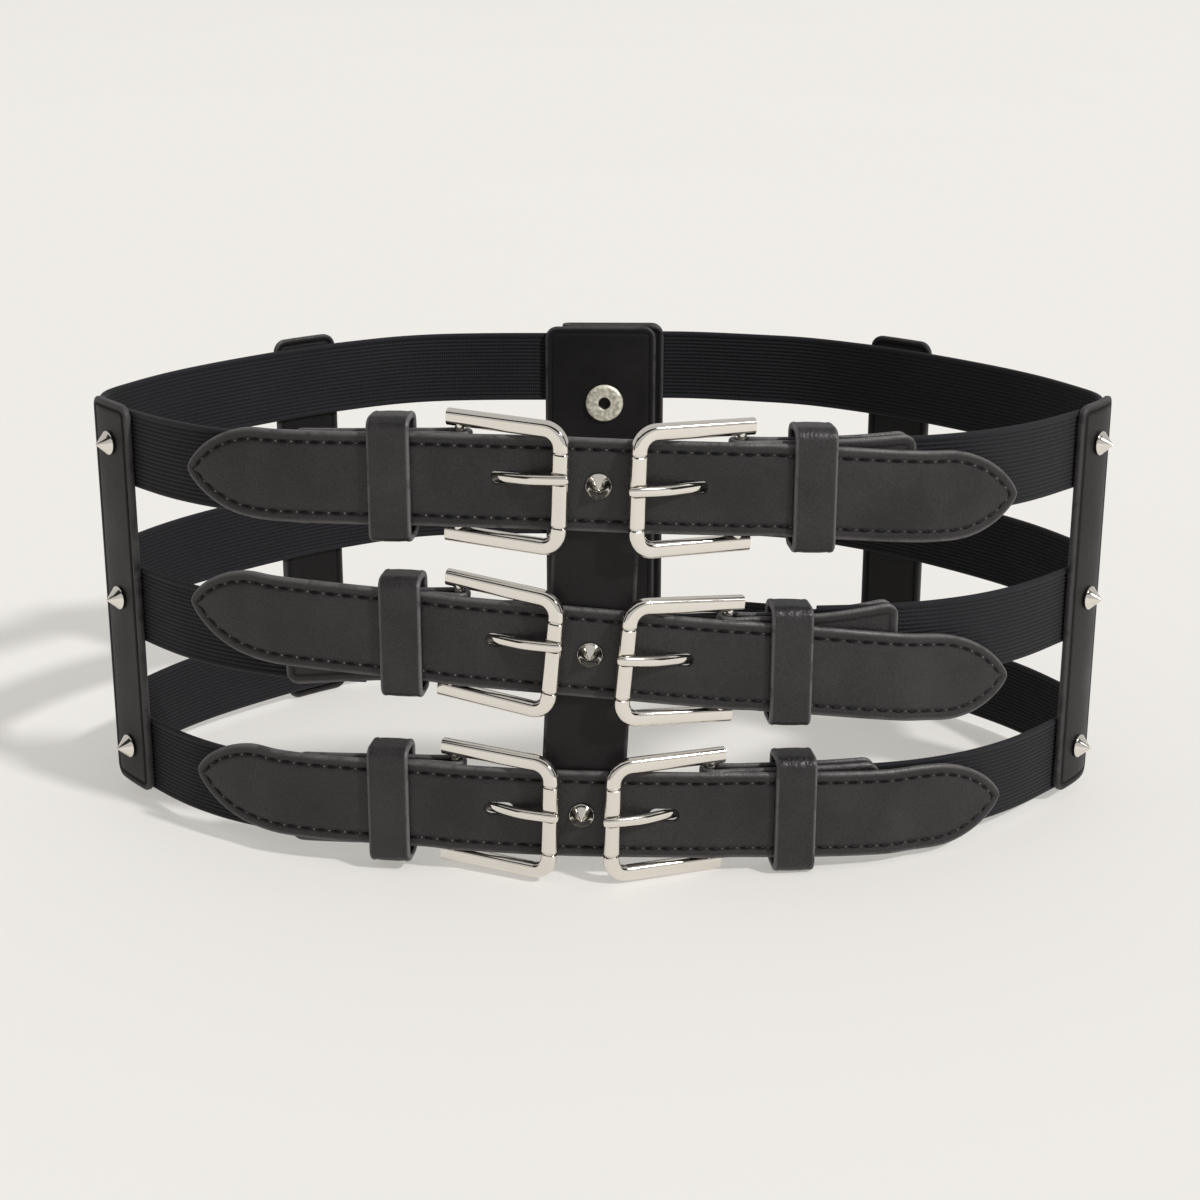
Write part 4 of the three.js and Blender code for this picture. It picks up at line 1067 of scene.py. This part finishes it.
def makeKeeper(row, side):
    size = keeperLoop
    at = studAt(row) + side * row["keeper"][side] * strapSizes["reach"]
    inner, outer = -(baseTop + layers["gap"]), baseTop + 2 * layers["gap"] + layers["strap"]
    halfOut = (outer - inner + size["thickness"]) / 2
    halfUp = (size["height"] - size["thickness"]) / 2
    middleOut, bend = (outer + inner) / 2, size["corner"]
    path = []
    for corner in range(4):
        toOut, toUp = (1 if corner in (0, 3) else -1), (1 if corner < 2 else -1)
        for step in range(size["cornerSteps"] + 1):
            angle = (corner + step / size["cornerSteps"]) * math.pi / 2
            path.append((middleOut + toOut * (halfOut - bend) + bend * math.cos(angle),
                         toUp * (halfUp - bend) + bend * math.sin(angle), angle))
        if corner in (1, 3):  # the long inner and outer faces
            start, toUp = path[-1], -1 if corner == 1 else 1
            for k in range(1, size["faceSteps"]):
                share = k / size["faceSteps"]
                path.append((start[0], mix(start[1], -start[1], share), start[2]))
    t, w = size["thickness"] / 2, size["width"] / 2
    section = [(-w, -t * 0.45), (-w + 0.25, -t * 0.85), (-w + 0.8, -t), (-w / 3, -t), (w / 3, -t),
               (w - 0.8, -t), (w - 0.25, -t * 0.85), (w, -t * 0.45), (w, t * 0.3), (w - 0.25, t * 0.75),
               (w - 0.9, t), (w - 1.7, t * 0.86), (w / 3, t), (-w / 3, t), (-w + 1.7, t * 0.86),
               (-w + 0.9, t), (-w + 0.25, t * 0.75), (-w, t * 0.3)]
    rings, wear = [], []
    for out, up, angle in path:
        ring = []
        for past, thick in section:
            s = at + past
            middle = (strapHeight(row, s) + baseHeight(row, side, s)) / 2
            ring.append(loopPlace(s, out + thick * math.cos(angle),
                                  middle + up + thick * math.sin(angle)))
        rings.append(ring)
        wear.append([float(abs(past) > w - size["paleEdge"]) for past, _ in section])
    mesh = bodyFromRings("keeper", rings, closed=True)
    setPointShare(mesh, np.array(wear))
    tag = row["name"] + "_" + sideNames[side]
    addPiece("loop_" + tag, mesh, grainedLeather, ["keeper_" + tag], 60)


for row in rows:
    for side in (-1, 1):
        makeKeeper(row, side)
print("keepers made")

# Upright strips and the back closure
stripPlan = {
    "marks": [0, 0.25, 0.6, 1.1, 1.7, 2.1, 2.5, 3.1, 4, 8, 16, 26, 38, 50, 59], "lineAt": 2.1,
    "lineWidth": 0.38, "lineDepth": 0.42, "frontWidth": 22.7, "frontEnd": 11, "sideWidth": 21,
    "sideMargin": 0.9, "sideLift": 1.3, "sideCorner": 4, "sideForward": {-1: 16, 1: 12}, "backWidth": 22,
    "backShare": 0.65, "backMargin": 3, "backCorner": 4, "postHole": 3.6, "edgeRoll": 0.8,
    "frontMarks": [0, 0.25, 0.6, 1.1, 1.7, 2.1, 2.5, 3.1, 4.5, 7, 10.4], "frontStops": [0.25, 0.6, 1.1],
    "endStops": [0.25, 0.6, 1.1, 1.7, 2.1, 2.5, 3.1, 4], "step": 1.6, "frontStep": 4,
}
lowestBand = rowSizes["lowest"] - rowSizes["bandWidth"] / 2
highestBand = rowSizes["lowest"] + 2 * rowSizes["pitch"] + rowSizes["bandWidth"] / 2
sideStripOut = bandTop + layers["gap"] + layers["sideStrip"] / 2
sideTurn = findAcross(1, False)
sideStripAt = {side: side * (sideTurn - stripPlan["sideForward"][side]) for side in (-1, 1)}
backStripAt = findAcross(stripPlan["backShare"], True)
closureLow, closureHigh = -beltShift[2], highestBand + closure["top"]


def stripProfile(inside):
    return plainProfile(inside) + sunkLine(inside, stripPlan["lineAt"], stripPlan["lineWidth"],
                                           stripPlan["lineDepth"])


def plainProfile(inside):
    return rolledEdge(inside, stripPlan["edgeRoll"])


def uprightMesh(at, width, thickness, out, low, high, corner, profile, cutters=()):
    start, end = at - width / 2, at + width / 2
    ends = [start + p for p in stripPlan["endStops"]] + [end - p for p in stripPlan["endStops"]]
    stops = spacedStops(start, end, stripPlan["step"], ends)

    def shape(s):
        half = cornerHalf((high - low) / 2, corner, min(s - start, end - s))
        return half, (low + high) / 2, out

    marks = [m for m in stripPlan["marks"] if m < (high - low) / 2 - 1]
    line = (stripPlan["lineAt"], stripPlan["lineWidth"])
    rings, wear, shade = sheetRings(stops, shape, thickness, profile, marks, line)
    mesh = bodyFromRings("upright", rings, paired=True, run=stops)
    setPointShare(mesh, wear)
    setPointShare(mesh, shade, "lineShade")
    return cutWith(mesh, cutters) if cutters else mesh


def makeFrontStrip():
    top, bottom = (strapHeight(row, studAt(row)) for row in (rows[0], rows[2]))
    low, high = bottom - stripPlan["frontEnd"], top + stripPlan["frontEnd"]
    width, out = stripPlan["frontWidth"], frontStripOut
    marks, past = np.array(stripPlan["frontMarks"]), stripPlan["frontStops"]
    ends = [low + p for p in past] + [high - p for p in past]
    rings, wear = [], []
    for height in spacedStops(low, high, stripPlan["frontStep"], ends):
        middle = (height - top) / rowSizes["pitch"] * rowSizes["lean"]
        xs = np.concatenate([-(width / 2 - marks), (width / 2 - marks)[::-1]])
        inside = np.minimum(width / 2 - np.abs(xs), min(height - low, high - height))
        rise = plainProfile(inside) * layers["strip"] / 2
        front = loopPlace(middle + xs, out + rise, height)
        back = loopPlace(middle + xs, out - rise, height)[::-1]
        rings.append(np.concatenate([front, back]))
        edge = paleEdge(inside)
        wear.append(np.concatenate([edge, edge[::-1]]))
    mesh = bodyFromRings("front", rings, paired=True)
    setPointShare(mesh, np.array(wear))
    cutters = [slotCutter(seatMatrix(studAt(row), strapLift, strapHeight(row, studAt(row))),
                          stripPlan["postHole"], stripPlan["postHole"]) for row in rows]
    addPiece("strip_front", cutWith(mesh, cutters), stripLeather, ["front_strip"])


def makeSideStrip(side):
    at = sideStripAt[side]
    lift = stripPlan["sideLift"]
    cutters = [slotCutter(seatMatrix(at, sideStripOut, rowLevel(row) + lift),
                          stripPlan["postHole"], stripPlan["postHole"]) for row in rows]
    mesh = uprightMesh(at, stripPlan["sideWidth"], layers["sideStrip"], sideStripOut,
                       lowestBand - stripPlan["sideMargin"] + lift,
                       highestBand + stripPlan["sideMargin"] + lift, stripPlan["sideCorner"],
                       stripProfile, cutters)
    addPiece("strip_side_" + sideNames[side], mesh, stripLeather,
             ["side_strip_" + sideNames[side]])


def makeBackStrip(side):
    mesh = uprightMesh(side * backStripAt, stripPlan["backWidth"], layers["strip"],
                       bandTop + layers["gap"] + layers["strip"] / 2,
                       lowestBand - stripPlan["backMargin"], highestBand + stripPlan["backMargin"],
                       stripPlan["backCorner"], stripProfile)
    addPiece("strip_back_" + sideNames[side], mesh, stripLeather,
             ["back_strip_" + sideNames[side]])


def snapHeight(share):
    return mix(closureLow, closureHigh, share)


def snapCutters():
    return [slotCutter(seatMatrix(behindAt(closure["snapAcross"]), outerMiddle / 2, snapHeight(share)),
                       closure["snapHole"], closure["snapHole"], 8) for share in closure["snapShares"]]


def makeClosure():
    middle = (closure["innerLeft"] + closure["innerRight"]) / 2
    out = -(bandTop + layers["gap"] + layers["closure"] / 2)
    mesh = uprightMesh(behindAt(middle), closure["innerRight"] - closure["innerLeft"],
                       layers["closure"], out, closureLow, closureHigh, closure["corner"],
                       stripProfile, snapCutters())
    addPiece("placket_inner", mesh, stripLeather, ["closure_inner"])
    end, roundGap = behindAt(closure["outerRight"]), bandTop + layers["gap"]
    fold = behindAt(closure["outerLeft"] + roundGap + layers["closure"])
    course = foldCourse(end, fold, -1, outerMiddle, roundGap, roundGap, baseSizes["foldBlend"],
                        layers["closure"], closure["step"], closure["foldSteps"])

    def shape(s):
        return (cornerHalf((closureHigh - closureLow) / 2, closure["corner"], abs(end - s)),
                (closureLow + closureHigh) / 2, 0)

    marks = [m for m in stripPlan["marks"] if m < (closureHigh - closureLow) / 2 - 1]
    line = (stripPlan["lineAt"], stripPlan["lineWidth"])
    rings, wear, shade, run = foldedRings(course, layers["closure"], shape, stripProfile, marks,
                                          line, end)
    mesh = bodyFromRings("outer", rings, paired=True, run=run)
    setPointShare(mesh, wear)
    setPointShare(mesh, shade, "lineShade")
    addPiece("placket_outer", cutWith(mesh, snapCutters()), stripLeather,
             ["closure_outer"])


makeFrontStrip()
for side in (-1, 1):
    makeSideStrip(side)
    makeBackStrip(side)
makeClosure()
print("strips and closure made")

# Studs, spikes and snaps
metalTrim = {"radius": 3.5, "height": 4, "post": 1.5, "rivet": 4, "rivetThickness": 1,
             "snapRadius": 6.2, "snapDisc": 1, "snapBarrel": 2.5, "snapEye": 1.9, "sides": 44}


def coneProfile(rim):
    r, high = metalTrim["radius"], metalTrim["height"]
    return [(r - 0.3, rim), (r - 0.06, rim + 0.1), (r, rim + 0.3), (r - 0.08, rim + 0.52),
            (r - 0.3, rim + 0.68), (r * 0.7, rim + high * 0.36), (r * 0.45, rim + high * 0.6),
            (r * 0.22, rim + high * 0.82), (0.3, rim + high * 0.94), (0.16, rim + high * 0.985),
            (0.05, rim + high)]


def studMesh():
    size = metalTrim
    rim = layers["strap"] / 2 + layers["gap"]
    back = -(layers["strap"] / 2 + layers["gap"] + layers["strip"] + layers["gap"])
    low = back - size["rivetThickness"]
    return lathe([(0.05, low), (size["rivet"] - 0.5, low), (size["rivet"] - 0.1, low + 0.25),
                  (size["rivet"], back - 0.25), (size["rivet"] - 0.15, back), (size["post"], back),
                  (size["post"], rim)] + coneProfile(rim), size["sides"])


def spikeMesh():
    size, half = metalTrim, layers["sideStrip"] / 2
    rim = half + layers["gap"]
    return lathe([(0.05, -half), (size["post"], -half), (size["post"], rim)] + coneProfile(rim),
                 size["sides"])


def snapMesh():
    size = metalTrim
    innerOut = -(bandTop + layers["gap"] + layers["closure"] / 2)
    ring = innerOut - layers["closure"] / 2 - layers["gap"]
    between = innerOut + layers["closure"] / 2 + layers["gap"]
    cap = outerMiddle + bandTop + layers["gap"] + layers["closure"] + layers["gap"]
    r, d, eye, wide = size["snapRadius"], size["snapDisc"], size["snapEye"], size["snapRadius"] * 0.85
    snap = lathe([(0.05, ring + 0.3), (eye - 0.2, ring + 0.3), (eye, ring + 0.1), (eye, ring - d * 0.7),
                  (eye + 0.3, ring - d * 0.95), (eye + 0.9, ring - d), (r * 0.62, ring - d * 0.86),
                  (r * 0.75, ring - d), (r - 0.7, ring - d * 0.9), (r - 0.15, ring - d * 0.5),
                  (r, ring - d * 0.2), (r - 0.1, ring), (size["snapBarrel"], ring),
                  (size["snapBarrel"], between), (wide, between), (wide, bandTop),
                  (size["snapBarrel"], bandTop), (size["snapBarrel"], cap), (r - 0.1, cap),
                  (r, cap + 0.25), (r - 0.3, cap + 0.6), (r * 0.8, cap + d * 0.85),
                  (r * 0.5, cap + d), (0.05, cap + d)], size["sides"])
    # painted shade: the points in the snap's hole get the dark eye colour
    setPointShare(snap, [math.hypot(v.co.x, v.co.y) < eye + 0.05 and v.co.z < ring + 0.5
                   for v in snap.vertices], "lineShade")  # the eye is dark
    return snap


sharedStud, sharedSpike, sharedSnap = studMesh(), spikeMesh(), snapMesh()
for row in rows:
    at = studAt(row)
    addPiece("stud_" + row["name"], moved(sharedStud, seatMatrix(at, strapLift, strapHeight(row, at))),
             nickelPlate, ["centre_stud_" + row["name"]])
    for side in (-1, 1):
        tag = row["name"] + "_" + sideNames[side]
        seat = seatMatrix(sideStripAt[side], sideStripOut, rowLevel(row) + stripPlan["sideLift"])
        addPiece("spike_" + tag, moved(sharedSpike, seat), nickelPlate, ["side_spike_" + tag])
for i, share in enumerate(closure["snapShares"]):
    seat = seatMatrix(behindAt(closure["snapAcross"]), 0, snapHeight(share))
    name = str(len(closure["snapShares"]) - i)
    addPiece("snap_" + name, moved(sharedSnap, seat), pressedNickel, ["closure_snap_" + name])
print("metal trim made")

# Floor, light and camera
studio = {  # metres
    "floor": (0.45, 0.443, 0.432), "floorGlow": (0.352, 0.34, 0.318),
    "worldColour": (1.0, 0.992, 0.975), "worldStrength": 0.58,
    "floorReach": 30, "floorDepth": 0.02, "cardColour": (0.01, 0.01, 0.01), "cardAim": (0, 0, 0.06),
    "lights": [
        {"name": "keySun", "from": (0.95, -0.72, 1.0), "spread": 5, "power": 2.7},
    ],
    "flags": [
        {"name": "flagFront", "at": (0, -0.85, 0.95), "size": (1.3, 0.28)},
        {"name": "flagLeft", "at": (-1.15, -0.5, 0.5), "size": (0.3, 0.5)},
        {"name": "flagRight", "at": (1.15, -0.5, 0.5), "size": (0.3, 0.5)},
    ],
}
cameraView = {"elevation": 17.72, "yaw": -0.44, "roll": 0.08, "distance": 664.9, "lens": 67.02,
              "target": (-0.87, -10.18, 61.46), "aimDrop": 0.387}


def makeFloor():
    material, nodes, links, shader = newMaterial("studioPaper")
    place = addNode(nodes, "ShaderNodeTexCoord")
    cloud = addNode(nodes, "ShaderNodeTexNoise", {"Scale": 1.4, "Detail": 3.0})
    links.new(place.outputs["Object"], cloud.inputs["Vector"])
    tone = addRamp(nodes, tuple(c * 0.985 for c in studio["floor"]), studio["floor"])
    links.new(cloud.outputs["Fac"], tone.inputs["Fac"])
    links.new(tone.outputs["Color"], shader.inputs["Base Color"])
    shader.inputs["Roughness"].default_value = 0.85
    shader.inputs["Emission Color"].default_value = (*studio["floorGlow"], 1)
    shader.inputs["Emission Strength"].default_value = 1.0
    reach, low = studio["floorReach"], -studio["floorDepth"]
    rings = [[(-reach, y, 0), (reach, y, 0), (reach, y, low), (-reach, y, low)]
             for y in (-reach, 0, reach)]
    mesh = bodyFromRings("floor", rings)
    mesh.materials.append(material)
    mesh.shade_smooth()
    floor = bpy.data.objects.new("floor", mesh)
    bpy.context.scene.collection.objects.link(floor)


def makeLights():
    world = bpy.data.worlds.new("studioAir")
    bpy.context.scene.world = world
    world.use_nodes = True
    background = world.node_tree.nodes["Background"]
    background.inputs["Color"].default_value = (*studio["worldColour"], 1)
    background.inputs["Strength"].default_value = studio["worldStrength"]
    for item in studio["lights"]:
        data = bpy.data.lights.new(item["name"], "SUN")
        data.angle, data.energy = math.radians(item["spread"]), item["power"]
        data.color = studio["worldColour"]
        light = bpy.data.objects.new(item["name"], data)
        light.rotation_euler = (-Vector(item["from"])).to_track_quat("-Z", "Y").to_euler()
        bpy.context.scene.collection.objects.link(light)
    material, nodes, links, shader = newMaterial("blackCard")
    shader.inputs["Base Color"].default_value = (*studio["cardColour"], 1)
    shader.inputs["Roughness"].default_value = 0.9
    for item in studio["flags"]:
        w, h = item["size"]
        mesh = bodyFromRings(item["name"], [[(-w, -h, z), (w, -h, z), (w, h, z), (-w, h, z)]
                                            for z in (0, 0.01)])
        mesh.materials.append(material)
        card = bpy.data.objects.new(item["name"], mesh)
        card.location = item["at"]
        aim = Vector(studio["cardAim"]) - Vector(item["at"])
        card.rotation_euler = aim.to_track_quat("-Z", "Y").to_euler()
        card.visible_camera = card.visible_diffuse = card.visible_shadow = False
        bpy.context.scene.collection.objects.link(card)


def makeCamera():
    view = cameraView
    elevation, yaw = math.radians(view["elevation"]), math.radians(view["yaw"])
    forward = Vector((math.sin(yaw) * math.cos(elevation), math.cos(yaw) * math.cos(elevation),
                      -math.sin(elevation)))
    data = bpy.data.cameras.new("camera")
    data.lens, data.sensor_width = view["lens"], 36
    data.clip_start, data.clip_end = 0.02, 30
    camera = bpy.data.objects.new("camera", data)
    camera.location = (Vector(view["target"]) - forward * view["distance"]) * mm
    aim = elevation + math.radians(view["aimDrop"])
    direction = Vector((math.sin(yaw) * math.cos(aim), math.cos(yaw) * math.cos(aim), -math.sin(aim)))
    camera.rotation_mode = "QUATERNION"
    camera.rotation_quaternion = (direction.to_track_quat("-Z", "Y")
                                  @ Matrix.Rotation(math.radians(view["roll"]), 3, "Z").to_quaternion())
    bpy.context.scene.collection.objects.link(camera)
    bpy.context.scene.camera = camera


makeFloor()
makeLights()
makeCamera()
bpy.context.scene.view_settings.view_transform = "Standard"
print("studio made")
